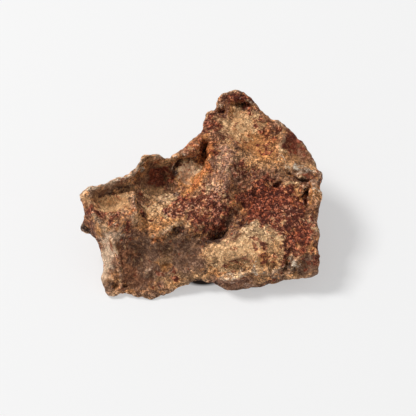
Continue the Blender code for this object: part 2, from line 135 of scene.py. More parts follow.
class Surface:
    """The corners of the mesh, in millimetres, with the ways they face."""

    def __init__(self, obj):
        self.mesh = obj.data
        self.count = len(self.mesh.vertices)
        self.edges = np.empty(len(self.mesh.edges) * 2, dtype=np.int64)
        self.mesh.edges.foreach_get("vertices", self.edges)
        self.edges = self.edges.reshape(-1, 2)
        self.degree = np.bincount(self.edges.ravel(), minlength=self.count)
        self.read()
        shape = bmesh.new()
        shape.from_mesh(self.mesh)
        self.map = BVHTree.FromBMesh(shape)
        shape.free()

    def read(self):
        self.at = np.empty(self.count * 3)
        self.mesh.vertices.foreach_get("co", self.at)
        self.at = self.at.reshape(-1, 3) / MM
        self.facing = np.empty(self.count * 3)
        self.mesh.vertex_normals.foreach_get("vector", self.facing)
        self.facing = self.facing.reshape(-1, 3)

    def move(self, offset):
        self.at += offset
        self.mesh.vertices.foreach_set("co", (self.at * MM).ravel())
        self.mesh.update()
        self.read()

    def even_out(self, values, rounds):
        """Values spread over the neighbouring corners, that many times."""
        for _ in range(rounds):
            total = np.zeros_like(values)
            for one, other in ((0, 1), (1, 0)):
                here, there = self.edges[:, one], self.edges[:, other]
                for axis in range(values.shape[1]):
                    part = values[there, axis]
                    total[:, axis] += np.bincount(here, weights=part, minlength=self.count)
            values = 0.5 * values + 0.5 * total / self.degree[:, None]
        return values

    def spot(self, place):
        """The point of the surface there, and the way it faces on the whole."""
        start, way = line_of_sight(place)
        hit = self.map.ray_cast(start, way)[0]
        if hit is None:  # a look just past the outline takes the nearest point of the rim
            along = (start + way * step * MM for step in range(50, 150))
            found = (self.map.find_nearest(point) for point in along)
            hit, _, _, gap = min(found, key=lambda near_miss: near_miss[3])
            if gap > NEAR_MISS * MM:
                raise ValueError(f"nothing lies at {place}")
        centre = np.array(hit) / MM
        near = np.linalg.norm(self.at - centre, axis=1) < 1.2
        towards_eye = -np.array(way)
        near &= self.facing @ towards_eye > 0
        facing = unit(self.facing[near].sum(0) + 0.3 * near.sum() * towards_eye)
        return centre, facing


surface = Surface(stone)
print("the brushes work on", surface.count, "corners")

# %% [markdown]
# A dab is an oval on the surface. Its weight is one in the middle and nothing at its edge, and
# the same weights serve later as a paint brush, so shape and colour are placed by the same map.

# %% Dabs and strokes
DAB_EDGE, STROKE_EDGE = 1.3, 1.5  # powers of the weight: above one, the edge runs out smoothly


class Brush:
    """Weighs, raises and presses in what lies at places of the drawing."""

    def __init__(self, surface):
        self.on = surface
        self.wander = 0.0  # how far each corner is taken to be from its place, in millimetres

    def oval(self, place, half_sizes, turn):
        """How near each corner is to the middle of the oval: one there, nothing at the edge."""
        centre, facing = self.on.spot(place)
        helper = (0.0, 0.0, 1.0) if abs(facing[2]) < 0.95 else (0.0, 1.0, 0.0)
        sideways = unit(np.cross(helper, facing))
        upwards = np.cross(facing, sideways)
        angle = math.radians(turn)
        along = sideways * math.cos(angle) + upwards * math.sin(angle)
        over = upwards * math.cos(angle) - sideways * math.sin(angle)
        offset = self.on.at + self.wander - centre
        reach = max(half_sizes) * 1.4
        share = ((offset @ along) / half_sizes[0]) ** 2
        share += ((offset @ over) / half_sizes[1]) ** 2
        share += (offset @ facing / reach) ** 2
        faces_it = np.clip(self.on.facing @ facing * 2.5 + 0.4, 0, 1)
        return np.clip(1 - share, 0, 1) * faces_it, facing

    def band(self, line, half_width):
        """The same for a line: one along it, nothing half a width away, fading at its ends."""
        spots = [self.on.spot(place) for place in line]
        nearest = np.full(self.on.count, np.inf)
        facing = np.zeros((self.on.count, 3))
        fade = np.zeros(self.on.count)
        at = self.on.at + self.wander * 0.4
        for i, ((start, way), (end, end_way)) in enumerate(zip(spots, spots[1:])):
            run = end - start
            part = np.clip((at - start) @ run / (run @ run), 0, 1)
            gap = np.linalg.norm(at - start - part[:, None] * run, axis=1)
            closer = gap < nearest
            nearest[closer] = gap[closer]
            facing[closer] = (way + part[:, None] * (end_way - way))[closer]
            travelled = (i + part) / (len(spots) - 1)
            fade[closer] = np.clip(6 * travelled * (1 - travelled), 0.25, 1)[closer]
        facing = unit(facing)
        faces_it = np.clip((self.on.facing * facing).sum(1) * 2.5 + 0.4, 0, 1)
        weight = np.clip(1 - (nearest / half_width) ** 2, 0, 1) * fade * faces_it
        return weight, facing

    def dab(self, place, half_sizes, turn, height):
        """Raise the oval by that height, or press it in if the height is below zero."""
        weight, facing = self.oval(place, half_sizes, turn)
        self.on.move(height * (weight**DAB_EDGE)[:, None] * facing)

    def stroke(self, line, half_width, height):
        """The same along a line."""
        weight, facing = self.band(line, half_width)
        self.on.move(height * (weight**STROKE_EDGE)[:, None] * facing)


brush = Brush(surface)
print("one brush, for dabs and strokes")

# %% [markdown]
# ## Shaping the left block
#
# The left end of the lump is a block with a raised rim. Behind the rim the metal has been eaten
# out to a bowl, and the rim overhangs it. A dark pit sits in the bowl's left corner.

# %% Left block
for line, half_width, height in (
    ([(-26.4, 24.2), (-23.4, 24.9), (-20.3, 25.7), (-17.0, 26.8), (-15.0, 28.0)], 1.0, 0.45),
    ([(-15.0, 28.0), (-13.9, 29.8), (-13.1, 31.2)], 0.9, 0.5),
    ([(-21.8, 23.9), (-20.3, 23.6), (-17.8, 23.7), (-15.4, 24.6)], 0.6, -0.3),
    ([(-24.9, 22.1), (-23.6, 21.7), (-21.6, 21.9)], 0.5, -0.4),
    ([(-14.9, 24.2), (-14.9, 22.0), (-14.7, 19.6)], 0.8, 0.15),
    ([(-14.2, 23.8), (-14.0, 21.6), (-13.9, 19.6)], 0.6, -0.4),
    ([(-26.2, 21.4), (-25.4, 19.8), (-23.6, 18.2), (-21.0, 17.2)], 0.8, 0.35),
):
    brush.stroke(line, half_width, height)
for place, half_sizes, turn, height in (
    ((-19.6, 22.6), (3.8, 1.4), 8, 0.8),
    ((-19.4, 20.6), (4.0, 1.9), 5, -0.5),
    ((-24.7, 23.4), (1.3, 0.9), 0, 0.35),
    ((-18.9, 24.6), (3.0, 0.9), 12, 0.25),
    ((-16.1, 22.6), (1.2, 1.2), 0, 0.3),
):
    brush.dab(place, half_sizes, turn, height)
print("left block shaped")

# %% [markdown]
# ## The second bowl, the knob and the slit
#
# Right of the block lies a wider bowl with a steep dark wall behind it. A pocket and a rounded knob
# follow, and a deep slit parts the knob from the long ridge that climbs to the peak.

# %% Second bowl, pocket, knob and slit
for line, half_width, height in (
    ([(-6.2, 28.2), (-5.6, 29.8), (-4.4, 31.0), (-2.4, 31.4), (-0.6, 31.8)], 0.8, -1.3),
    ([(0.8, 35.4), (1.2, 34.2), (1.1, 32.6), (0.5, 30.6)], 0.8, -1.9),
    ([(1.0, 34.6), (1.0, 33.4), (0.9, 32.2)], 0.6, -1.2),
    ([(2.2, 36.2), (2.6, 33.0), (1.8, 29.8), (0.0, 26.8), (-1.4, 24.6)], 1.5, 0.2),
    ([(-7.0, 28.4), (-7.4, 26.6), (-8.0, 25.0)], 0.8, 0.35),
    ([(-12.0, 26.4), (-10.4, 25.4), (-8.2, 25.4)], 0.9, -0.25),
    ([(-12.4, 14.2), (-10.6, 14.0), (-8.4, 14.3), (-7.0, 15.6), (-5.4, 16.7), (-3.8, 16.0)], 0.7, 0.4),
    ([(-11.6, 13.3), (-9.4, 13.1), (-7.6, 13.6)], 0.6, -0.35),
    ([(-13.2, 18.2), (-12.4, 18.8), (-11.9, 17.8)], 0.6, -0.35),
):
    brush.stroke(line, half_width, height)
for place, half_sizes, turn, height in (
    ((-10.6, 29.2), (2.2, 1.9), 0, -0.6),
    ((-8.7, 27.6), (1.2, 1.4), 20, -0.45),
    ((-11.9, 28.4), (0.9, 1.1), 0, 0.25),
    ((-2.8, 28.7), (2.0, 2.6), -25, 0.3),
    ((-1.3, 33.8), (1.7, 1.5), 30, 0.9),
    ((-3.4, 32.5), (1.2, 0.8), 20, 0.3),
    ((-5.6, 15.0), (1.5, 1.3), 0, -0.7),
    ((-7.9, 19.3), (0.7, 0.8), 0, -0.35),
    ((-10.0, 21.4), (2.6, 1.6), 0, -0.3),
    ((-5.7, 22.9), (0.8, 0.7), 0, -0.3),
):
    brush.dab(place, half_sizes, turn, height)
print("second bowl, knob and slit shaped")

# %% [markdown]
# ## The peak, the shoulder and the flake
#
# The peak wears a cap with a dark hollow under it. The shoulder falls away to the right in a
# shallow dish with a low rim, and beyond the rim a lens of harder metal has split off like a flake.

# %% Peak, shoulder and flake
for line, half_width, height in (
    ([(6.8, 43.9), (8.6, 44.1), (10.6, 44.2), (11.8, 43.6)], 0.6, -0.9),
    ([(5.6, 45.0), (8.0, 45.4), (10.4, 45.2), (12.0, 44.4)], 0.8, 0.35),
    ([(3.6, 42.8), (4.7, 42.2), (5.6, 42.6)], 0.5, -0.6),
    ([(19.4, 38.2), (18.5, 35.6), (18.3, 33.0), (17.8, 30.8)], 1.1, 0.22),
    ([(19.9, 36.4), (19.3, 34.0), (19.2, 31.6)], 1.0, -0.15),
    ([(17.4, 30.6), (19.4, 29.6), (22.0, 29.4), (24.4, 28.7), (26.6, 28.2)], 0.7, 0.3),
    ([(20.8, 28.5), (22.6, 28.6), (24.4, 28.1)], 0.45, -0.3),
    ([(18.8, 28.8), (20.3, 27.8), (22.3, 26.8), (24.0, 26.5), (25.8, 26.9)], 0.5, -0.7),
    ([(20.6, 27.6), (22.4, 27.4), (24.6, 27.3)], 0.6, 0.35),
    ([(13.0, 33.8), (14.7, 33.7), (16.6, 34.0)], 0.7, -0.3),
):
    brush.stroke(line, half_width, height)
for place, half_sizes, turn, height in (
    ((9.9, 44.0), (1.7, 0.7), -5, -0.7),
    ((4.8, 43.6), (0.9, 0.9), 0, 0.4),
    ((3.0, 41.2), (1.1, 1.2), 0, -0.3),
    ((18.0, 25.8), (2.0, 1.3), 10, 0.5),
    ((18.8, 26.1), (1.2, 0.6), 25, -0.5),
    ((17.0, 25.4), (1.3, 0.7), -10, -0.5),
    ((23.0, 28.3), (3.3, 1.0), -10, 0.4),
    ((21.0, 26.1), (1.4, 0.7), -8, 0.3),
    ((15.0, 37.8), (1.4, 0.8), 0, -0.25),
    ((9.0, 38.6), (3.6, 3.0), 0, -0.3),
    ((21.8, 34.2), (1.6, 2.4), 25, -0.35),
    ((24.2, 30.6), (1.4, 1.2), 0, -0.25),
):
    brush.dab(place, half_sizes, turn, height)
print("peak, shoulder and flake shaped")

# %% [markdown]
# ## The right edge, the rusty hollow and the valley
#
# Small bites have left a scalloped edge, with a deep slot just inside it. Between the shoulder and
# the lower lobe lies a broad rusty hollow, and a dark valley runs from it down to the left.

# %% Right edge, hollow and valley
for line, half_width, height in (
    ([(22.4, 23.5), (25.0, 23.5)], 1.2, 0.8),
    ([(24.8, 25.6), (24.1, 23.8), (23.7, 22.0), (24.0, 20.2)], 0.6, -1.6),
    ([(6.0, 20.4), (4.8, 18.0), (3.8, 15.6)], 1.7, 0.9),
    ([(7.9, 20.6), (8.2, 18.8), (8.9, 17.2)], 0.6, -0.5),
    ([(25.6, 25.6), (25.6, 23.6), (25.1, 21.4)], 0.7, 0.4),
    ([(9.9, 18.6), (9.6, 17.2), (8.8, 16.0)], 0.5, -0.6),
    ([(2.2, 12.9), (4.0, 13.9), (5.6, 15.0), (7.4, 16.0)], 0.8, -0.6),
    ([(20.2, 17.6), (21.6, 16.2), (22.2, 14.2)], 0.9, 0.3),
    ([(14.4, 24.2), (17.0, 23.6), (20.0, 23.9), (22.2, 23.6)], 0.7, 0.3),
    ([(22.9, 19.8), (24.0, 18.4), (24.4, 16.6)], 0.7, -0.35),
):
    brush.stroke(line, half_width, height)
for place, half_sizes, turn, height in (
    ((26.3, 19.6), (1.1, 1.5), 0, -0.45),
    ((25.9, 16.6), (0.9, 0.9), 0, 0.3),
    ((26.0, 11.6), (1.2, 1.2), 0, -0.4),
    ((13.0, 22.4), (1.8, 1.2), 0, -0.5),
    ((17.4, 20.2), (2.2, 1.6), 0, -0.35),
    ((3.8, 13.6), (1.5, 0.8), 15, -0.6),
    ((11.6, 20.0), (1.2, 1.0), 0, 0.25),
    ((22.6, 11.6), (1.6, 1.4), 0, -0.35),
    ((20.0, 13.4), (1.4, 1.1), 0, -0.25),
    ((3.6, 17.0), (1.8, 1.5), 0, 0.3),
    ((-1.4, 20.6), (1.6, 1.2), 0, -0.25),
    ((6.2, 27.4), (1.4, 2.4), 0, 0.25),
):
    brush.dab(place, half_sizes, turn, height)
print("right edge, hollow and valley shaped")

# %% [markdown]
# ## The lower lobe and the front wall
#
# The lobe's rim has been rubbed to bright metal above a steep face, with a small pocket behind it.
# The front wall is a cliff of shallow thumbprints, parted from the smooth left facet by a ridge.

# %% Lower lobe and front wall
for line, half_width, height in (
    ([(5.4, 7.9), (7.2, 8.3), (9.2, 8.5), (11.2, 8.1)], 0.5, -0.6),
    ([(3.2, 4.9), (5.6, 4.4), (7.8, 4.7), (10.0, 5.7), (12.6, 6.8)], 0.8, 0.75),
    ([(4.2, 3.2), (6.6, 2.9), (9.2, 3.6), (12.4, 5.0)], 0.8, -0.4),
    ([(12.6, 6.8), (14.6, 5.6), (17.0, 5.6), (19.6, 5.7)], 0.7, 0.3),
    ([(19.6, 8.8), (19.4, 7.4), (18.9, 6.2)], 0.5, -1.1),
    ([(19.9, 5.9), (20.6, 7.2), (21.8, 8.6)], 0.8, 0.7),
    ([(22.4, 8.8), (23.6, 7.6), (24.2, 6.0)], 0.7, -0.4),
    ([(-20.4, 14.6), (-19.2, 12.4), (-18.5, 9.4), (-18.1, 6.6), (-17.5, 3.6)], 0.8, 0.7),
    ([(-18.6, 13.0), (-17.6, 9.8), (-17.2, 6.4)], 0.9, -0.35),
    ([(-12.6, 4.4), (-11.9, 5.6), (-11.2, 6.8)], 0.6, 0.3),
    ([(-22.9, 13.6), (-21.6, 10.4), (-20.9, 7.4)], 0.6, -0.25),
    ([(-17.0, 13.6), (-15.4, 11.8), (-14.9, 9.6)], 0.6, -0.3),
):
    brush.stroke(line, half_width, height)
for place, half_sizes, turn, height in (
    ((8.4, 6.8), (2.5, 1.1), 6, -0.7),
    ((12.5, 11.2), (1.0, 0.8), 0, -0.3),
    ((13.0, 15.0), (2.0, 1.4), 0, 0.3),
    ((16.4, 9.8), (2.0, 1.4), 0, -0.3),
    ((2.6, 9.4), (1.4, 1.2), 0, 0.3),
    ((-15.0, 11.0), (2.4, 2.6), 0, -0.6),
    ((-12.6, 6.9), (1.8, 1.6), 0, -0.55),
    ((-8.0, 11.4), (2.4, 1.8), 0, -0.6),
    ((-3.0, 12.2), (1.8, 1.6), 0, -0.35),
    ((-7.7, 7.6), (1.5, 0.8), -10, -0.6),
    ((-3.0, 7.6), (1.8, 1.5), 0, -0.35),
    ((-15.6, 5.2), (1.6, 1.5), 0, -0.35),
    ((-19.2, 2.7), (0.9, 0.8), 0, -0.6),
    ((-17.0, 2.7), (0.6, 0.5), 0, -0.5),
    ((-6.6, 4.2), (2.2, 1.0), 8, 0.3),
    ((-11.0, 2.0), (1.2, 0.8), 0, 0.25),
    ((-25.8, 15.8), (0.7, 0.5), 0, -0.3),
):
    brush.dab(place, half_sizes, turn, height)
print("lower lobe and front wall shaped")

# %% [markdown]
# ## Crumbs and flakes of the crust
#
# Rust swells and crumbles, so the surface is never smooth at the scale of a fingernail. Noise
# gives that, in two sizes: knobbly lumps of two to three millimetres, and crumbs of about one.
# Where the metal is sound, such as the left facet, the crumbs are much weaker, and where it is dull,
# such as the front wall, they are somewhat weaker. How crumbly each corner is serves the shader too.


# %% Crumble the crust
def waves(points, size, seed, octaves=2):
    """Smooth random numbers about zero, with lumps of about that size in millimetres."""
    shift = Vector((seed * 17.3, seed * 5.1, -seed * 9.7))
    return np.array(
        [noise.fractal(Vector(p) / size + shift, 1.0, 2.1, octaves) for p in points.tolist()]
    )


def crests(points, size, seed):
    """The same with sharp crests, for a crust that has cracked and swollen."""
    return 0.35 - np.abs(waves(points, size, seed, 3))


SOUND_METAL = (
    ((-21.0, 8.0), (2.8, 9.0), 10),  # left facet
    ((-19.6, 20.8), (4.2, 2.2), 5),  # top of the left block
    ((-3.0, 28.2), (2.6, 3.4), -25),  # pocket
    ((-17.2, 22.0), (2.6, 1.8), 0),  # wall of the block's bowl
    ((-21.5, 24.6), (6.0, 1.8), 15),  # rim of the block
    ((-11.0, 27.4), (4.5, 4.5), 0),  # wall of the second bowl
    ((22.6, 28.6), (3.4, 1.2), -8),  # flake
    ((22.0, 34.0), (3.0, 5.0), 30),  # right flank of the shoulder
    ((24.2, 6.2), (2.8, 3.0), 0),  # right corner of the lobe
)
DULL_METAL = (
    ((9.0, 38.0), (5.5, 5.0), 0),  # dish below the peak
    ((12.4, 34.4), (4.0, 3.4), 0),  # shoulder
    ((8.6, 11.0), (8.5, 4.5), 8),  # lower lobe
    ((-12.0, 8.0), (7.0, 7.0), 0),  # front wall, left half
    ((-4.0, 9.0), (5.0, 6.0), 0),  # front wall, right half
    ((9.0, 3.0), (7.0, 2.0), 0),  # steep front of the lobe
)
crumbly = np.ones(surface.count)
for areas, smoother in ((SOUND_METAL, 0.75), (DULL_METAL, 0.6)):
    for place, half_sizes, turn in areas:
        weight, _ = brush.oval(place, half_sizes, turn)
        crumbly = np.minimum(crumbly, 1 - smoother * weight**0.5)
lumps = waves(surface.at, 2.2, 1) * 0.18 + crests(surface.at, 3.4, 2) * 0.28
surface.move((lumps * (0.4 + 0.6 * crumbly))[:, None] * surface.facing)
crumbs = waves(surface.at, 0.9, 3, 1) * 0.20 + crests(surface.at, 1.4, 4) * 0.26
surface.move((crumbs * crumbly)[:, None] * surface.facing)
print("crumbs of up to", round(float(np.abs(crumbs).max()), 2), "mm")

# %% [markdown]
# The lump still has to stand on the table, so nothing may reach below the resting flats.

# %% Stand on the table
surface.at[:, 2] = np.maximum(surface.at[:, 2], 0.0)
surface.move(0.0)
select_only(stone)
bpy.ops.object.shade_smooth()
print("lowest corner at", round(float(surface.at[:, 2].min()), 2), "mm")

# %% [markdown]
# ## Measuring hollows and edges
#
# Rust gathers in hollows and wears off edges. Both can be measured: smooth the surface, and see
# on which side of the smoothed one each corner lies. A hollow lies under it and an edge above it.
# Few rounds of smoothing find small pits, and many rounds find whole bowls.


# %% Hollows, small and large
def hollows(rounds, full):
    """From -1 on an edge to 1 in a hollow that is that many millimetres deep."""
    smoothed = surface.even_out(surface.at.copy(), rounds)
    depth = ((smoothed - surface.at) * surface.facing).sum(1)
    return np.clip(depth / full, -1, 1)


pits = hollows(5, 0.12) * (0.3 + 0.7 * crumbly)
bowls = hollows(115, 0.9)
print("deepest pit and bowl on the scale:", pits.max().round(2), bowls.max().round(2))

# %% [markdown]
# ## A paint box
#
# Weathered iron has few colours, and each has a cause: straw and ochre are dry rust powder, orange
# and red are fresher rust, maroon and umber are old compact oxide in the hollows, and the greys
# are metal under a thin skin. Umber and maroon also serve below as painted shade in slits, slots,
# cracks and under rims, and the near-white of rubbed metal is partly a painted glint. They are
# written as on a paint chart, from 0 to 255. A number that multiplies a colour further on makes it
# darker or lighter.


# %% Paint box
def paint(red, green, blue):
    """A paint-chart colour as the linear numbers that shaders work with."""
    chart = np.array((red, green, blue)) / 255
    return np.where(chart <= 0.04045, chart / 12.92, ((chart + 0.055) / 1.055) ** 2.4)


STRAW = paint(240, 194, 142)
TAN = paint(222, 168, 116)
OCHRE = paint(216, 146, 84)
ORANGE = paint(212, 118, 56)
RED_RUST = paint(164, 76, 40)
MAROON = paint(106, 42, 28)
UMBER = paint(66, 40, 28)
BROWN = paint(142, 90, 60)
OLIVE = paint(138, 100, 76)
MAUVE = paint(182, 130, 102)
ASH = paint(212, 180, 150)
CREAM = paint(255, 236, 212)
# near white: bare metal with a painted glint in it
RUBBED_METAL_AND_GLINT = paint(252, 236, 212)
print("straw, for one, is", STRAW.round(2), "to a shader")

# %% [markdown]
# ## The wash
#
# A painter would first lay a broad wash that says which part is pale and which is dark, and only
# then stipple the grain over it. The wash is a colour attribute on the corners. Away from the show
# side it follows slow noise and the measured hollows; on the show side it is dabbed on one by one.

# %% A wash by nature
slow = waves(surface.at, 9.0, 5) + 0.5 * waves(surface.at, 4.0, 6)
patchy = waves(surface.at, 6.0, 7)


def blend(under, over, share):
    share = np.clip(share, 0, 1)[:, None]
    return under * (1 - share) + over * share


wash = np.tile(BROWN, (surface.count, 1))
wash = blend(wash, TAN, slow * 1.6 + 0.25)
wash = blend(wash, OCHRE, patchy * 1.8 - 0.1)
wash = blend(wash, MAROON, bowls * 0.9 - slow * 0.8 - 0.1)
wash = blend(wash, MAUVE, -patchy * 1.5 - 0.25)
wash = blend(wash, ASH, -bowls * 1.1 - 0.35)
underside = np.clip(-surface.facing[:, 2] - 0.3, 0, 1)
wash = blend(wash, UMBER, underside * 1.1)
print("mean colour of the wash:", wash.mean(0).round(3))

# %% [markdown]
# The dabs of the show side go from broad to small, each with a colour, a place, half sizes, a turn
# and a strength. A rust front never runs in a smooth oval, so from here on the brush takes each
# corner to be a millimetre or so from where it is, and the edges of what it paints wander.

# %% The wash, broad areas
brush.wander = np.column_stack([waves(surface.at, 2.6, seed, 3) for seed in (8, 9, 10)]) * 2.4
BROAD = [
    # left block, its rim and the front wall below it
    (OLIVE, (-20.3, 25.2), (6.5, 1.9), 15, 0.9), (TAN, (-19.4, 20.8), (5.4, 3.2), 5, 1.0),
    (BROWN, (-25.0, 19.5), (2.2, 3.5), 0, 0.9), (OLIVE * 1.2, (-13.0, 8.0), (9.0, 9.0), 0, 1.0),
    (OLIVE * 1.1, (-4.0, 9.6), (6.5, 6.0), 0, 1.0), (ASH * 1.25, (-21.2, 9.5), (2.6, 8.5), 8, 1.0),
    (UMBER, (-14.5, 11.0), (4.0, 4.5), 0, 0.25), (UMBER, (-5.0, 13.2), (5.5, 2.4), 0, 0.35),
    (BROWN, (-14.0, 2.6), (6.0, 2.6), 0, 0.8), (TAN * 0.85, (-6.2, 4.2), (4.6, 2.4), 10, 0.9),
    # second bowl and pocket
    # umber on the bowl's back wall: partly its dark oxide, partly painted shade, as the wall faces
    # away from the lamp
    (TAN, (-9.6, 20.8), (5.0, 6.0), 0, 1.0), (UMBER, (-10.0, 28.4), (4.6, 4.0), 0, 0.8),
    # olive: painted shade on the ridge's side away from the lamp; straw times 1.4: the pocket's pale
    # tan, brightened as painted light in the knob's shade
    (OLIVE, (-13.2, 25.0), (1.8, 3.4), 0, 0.8), (STRAW * 1.4, (-3.2, 28.2), (2.8, 3.8), -25, 1.0),
    (RED_RUST, (-1.6, 33.6), (3.4, 2.8), 30, 0.8),
    # long ridge, orange to its left and mauve along its top
    (ORANGE, (1.4, 33.0), (1.9, 5.5), 10, 0.9), (OCHRE, (-1.6, 26.0), (3.0, 4.4), -35, 0.9),
    (BROWN, (2.0, 37.5), (3.0, 3.4), 0, 0.9), (MAUVE, (6.0, 30.4), (4.4, 7.0), 0, 1.0),
    (MAUVE, (2.6, 23.6), (4.4, 4.4), -20, 0.8), (RED_RUST, (-3.0, 19.6), (5.4, 3.4), 0, 0.45),
    # peak and shoulder
    (BROWN, (8.0, 45.6), (5.0, 2.2), -8, 1.0), (TAN, (9.4, 39.0), (6.2, 5.2), 0, 1.0),
    (OCHRE, (12.6, 35.2), (6.2, 4.6), -20, 0.8), (BROWN, (14.6, 40.8), (5.0, 1.6), -35, 0.6),
    (BROWN * 0.8, (22.4, 34.4), (3.6, 6.8), 32, 1.0), (TAN, (11.2, 31.2), (4.0, 2.8), 0, 0.6),
    (OLIVE, (22.6, 28.6), (3.6, 1.5), -8, 0.7),
    # rusty hollow
    (RED_RUST, (16.0, 21.0), (8.0, 6.2), 0, 1.0), (BROWN, (9.6, 24.2), (4.4, 3.8), 0, 0.8),
    (BROWN * 0.85, (25.2, 17.6), (2.4, 6.5), 0, 0.9), (RED_RUST, (21.4, 13.4), (3.4, 3.6), 0, 0.9),
    (BROWN * 0.8, (3.6, 16.0), (4.4, 3.0), 10, 0.6), (OLIVE, (7.2, 16.4), (3.0, 4.0), -35, 0.9),
    # lower lobe and its steep front
    (STRAW, (11.4, 11.2), (8.8, 4.4), 10, 1.0), (BROWN, (13.0, 17.8), (7.5, 1.9), 0, 0.9),
    (TAN, (16.0, 9.4), (6.4, 4.0), 0, 0.9), (STRAW, (5.6, 9.4), (5.6, 3.6), 0, 0.9),
    (TAN, (1.0, 9.2), (2.2, 4.0), 0, 0.5), (MAUVE * 0.72, (8.4, 3.0), (5.6, 2.0), 8, 1.0),
    (OLIVE, (24.0, 7.0), (3.8, 3.4), 0, 1.0), (OLIVE, (17.0, 4.6), (4.0, 1.4), 8, 0.9),
]


def painted(colours, dabs):
    """The colours with those dabs of paint laid over them, one after another."""
    for colour, place, half_sizes, turn, strength in dabs:
        weight, _ = brush.oval(place, half_sizes, turn)
        colours = blend(colours, colour, np.clip(weight * 1.4, 0, 1) * strength)
    return colours


wash = painted(wash, BROAD)
print(len(BROAD), "broad dabs")

# %% [markdown]
# A painter then steps back and mends the first coat where it is too dark, too pale or too warm. The
# mending dabs are half as wide, and go over the lump part by part.

# %% The wash, mended
MEDIUM = [
    # left block
    # tan in the block's bowl: its pale rust, lightened further as painted light in the rim's shade
    (TAN, (-19.8, 21.2), (4.8, 2.4), 8, 1.0),
    # second bowl, pocket and knob
    (TAN, (-11.0, 24.6), (2.4, 2.6), 0, 0.7), (OCHRE * 1.1, (-3.4, 23.6), (2.0, 1.6), 0, 0.7),
    (BROWN * 1.3, (-3.0, 33.2), (3.0, 1.8), 20, 0.8),
    # cream in the pocket: painted light in the knob's shade
    (TAN * 1.1, (-1.3, 33.9), (1.8, 1.4), 30, 0.9), (CREAM, (-3.0, 28.4), (2.2, 2.6), -25, 0.4),
    (BROWN, (-10.2, 28.6), (3.4, 2.2), 0, 0.3),
    # front wall and facet
    (BROWN * 1.8, (-16.6, 7.8), (2.6, 4.8), 0, 0.8),
    (OLIVE * 0.75, (-11.0, 12.8), (2.6, 2.2), 0, 0.8), (UMBER, (-2.6, 4.4), (2.4, 2.0), 0, 0.6),
    (UMBER, (-3.8, 15.8), (2.0, 1.6), 0, 0.6), (TAN * 0.8, (-7.4, 9.4), (2.2, 1.8), 0, 0.6),
    (OLIVE, (-20.6, 1.8), (2.8, 2.0), 0, 0.9), (OLIVE, (-12.0, 1.6), (6.0, 1.4), 0, 0.7),
    # long ridge
    (MAUVE * 1.2, (3.0, 20.8), (3.0, 2.4), 0, 0.9), (MAUVE * 1.3, (-2.8, 20.2), (3.0, 2.2), 0, 1.0),
    (MAUVE * 1.2, (3.2, 19.8), (2.2, 2.2), 0, 0.8),
    # peak, shoulder and flake
    (TAN, (7.2, 35.2), (2.2, 1.8), 0, 0.6), (BROWN * 0.8, (13.6, 41.8), (1.8, 1.2), 0, 0.8),
    (TAN, (3.4, 38.6), (1.8, 1.6), 0, 0.5), (BROWN, (23.4, 31.4), (2.2, 1.8), 0, 0.8),
    (TAN, (13.6, 38.4), (2.6, 2.0), 0, 0.7),
    # rusty hollow, right edge and valley
    (BROWN * 0.7, (12.6, 17.0), (5.0, 1.4), 0, 0.7), (MAROON, (18.2, 23.8), (2.4, 1.4), 0, 0.5),
    (UMBER, (10.4, 17.0), (2.6, 1.8), 0, 0.7), (OLIVE * 0.8, (7.4, 19.0), (2.0, 2.4), -20, 0.8),
    (MAROON * 1.3, (21.6, 20.2), (2.6, 2.4), 0, 0.55), (RED_RUST, (18.2, 16.6), (2.8, 1.6), 0, 0.7),
    # lower lobe
    # olive times 0.75 at the bottom edge: painted contact shadow
    (OLIVE, (25.0, 7.4), (3.0, 3.6), 0, 0.9), (OLIVE * 0.75, (13.0, 2.2), (3.6, 1.4), 8, 0.8),
    # umber at (2.4, 12.8): painted shade in the valley's groove
    (UMBER, (2.4, 12.8), (3.4, 1.8), 15, 0.9), (UMBER, (-0.6, 15.0), (2.8, 1.8), 0, 0.3),
    (BROWN * 0.8, (-0.2, 9.4), (2.0, 2.2), 0, 0.7), (TAN * 1.25, (9.0, 9.6), (8.0, 3.4), 5, 0.7),
    # ash times 1.1: the lobe's bare rim with a painted highlight
    (OCHRE * 1.3, (14.6, 9.6), (2.6, 1.8), 0, 0.9), (ASH * 1.1, (18.0, 5.8), (2.0, 0.9), 5, 0.6),
    # ash times 1.3: the lobe's bare rim with a painted highlight
    (BROWN * 0.6, (15.4, 3.9), (3.6, 1.4), 8, 0.95), (ASH * 1.3, (8.6, 5.3), (3.2, 0.8), 15, 0.9),
    # cream in the lobe's pocket: painted light in its shade
    (CREAM, (8.4, 6.4), (2.4, 1.0), 8, 0.4), (OLIVE * 0.8, (-1.4, 8.4), (2.4, 3.6), 0, 0.7),
    # umber at (13.6, 2.4): painted contact shadow at the bottom edge
    (UMBER, (13.6, 2.4), (3.6, 1.0), 8, 0.7), (STRAW, (5.0, 6.6), (4.6, 2.0), 5, 0.9),
]
wash = painted(wash, MEDIUM)
print(len(MEDIUM), "mending dabs")
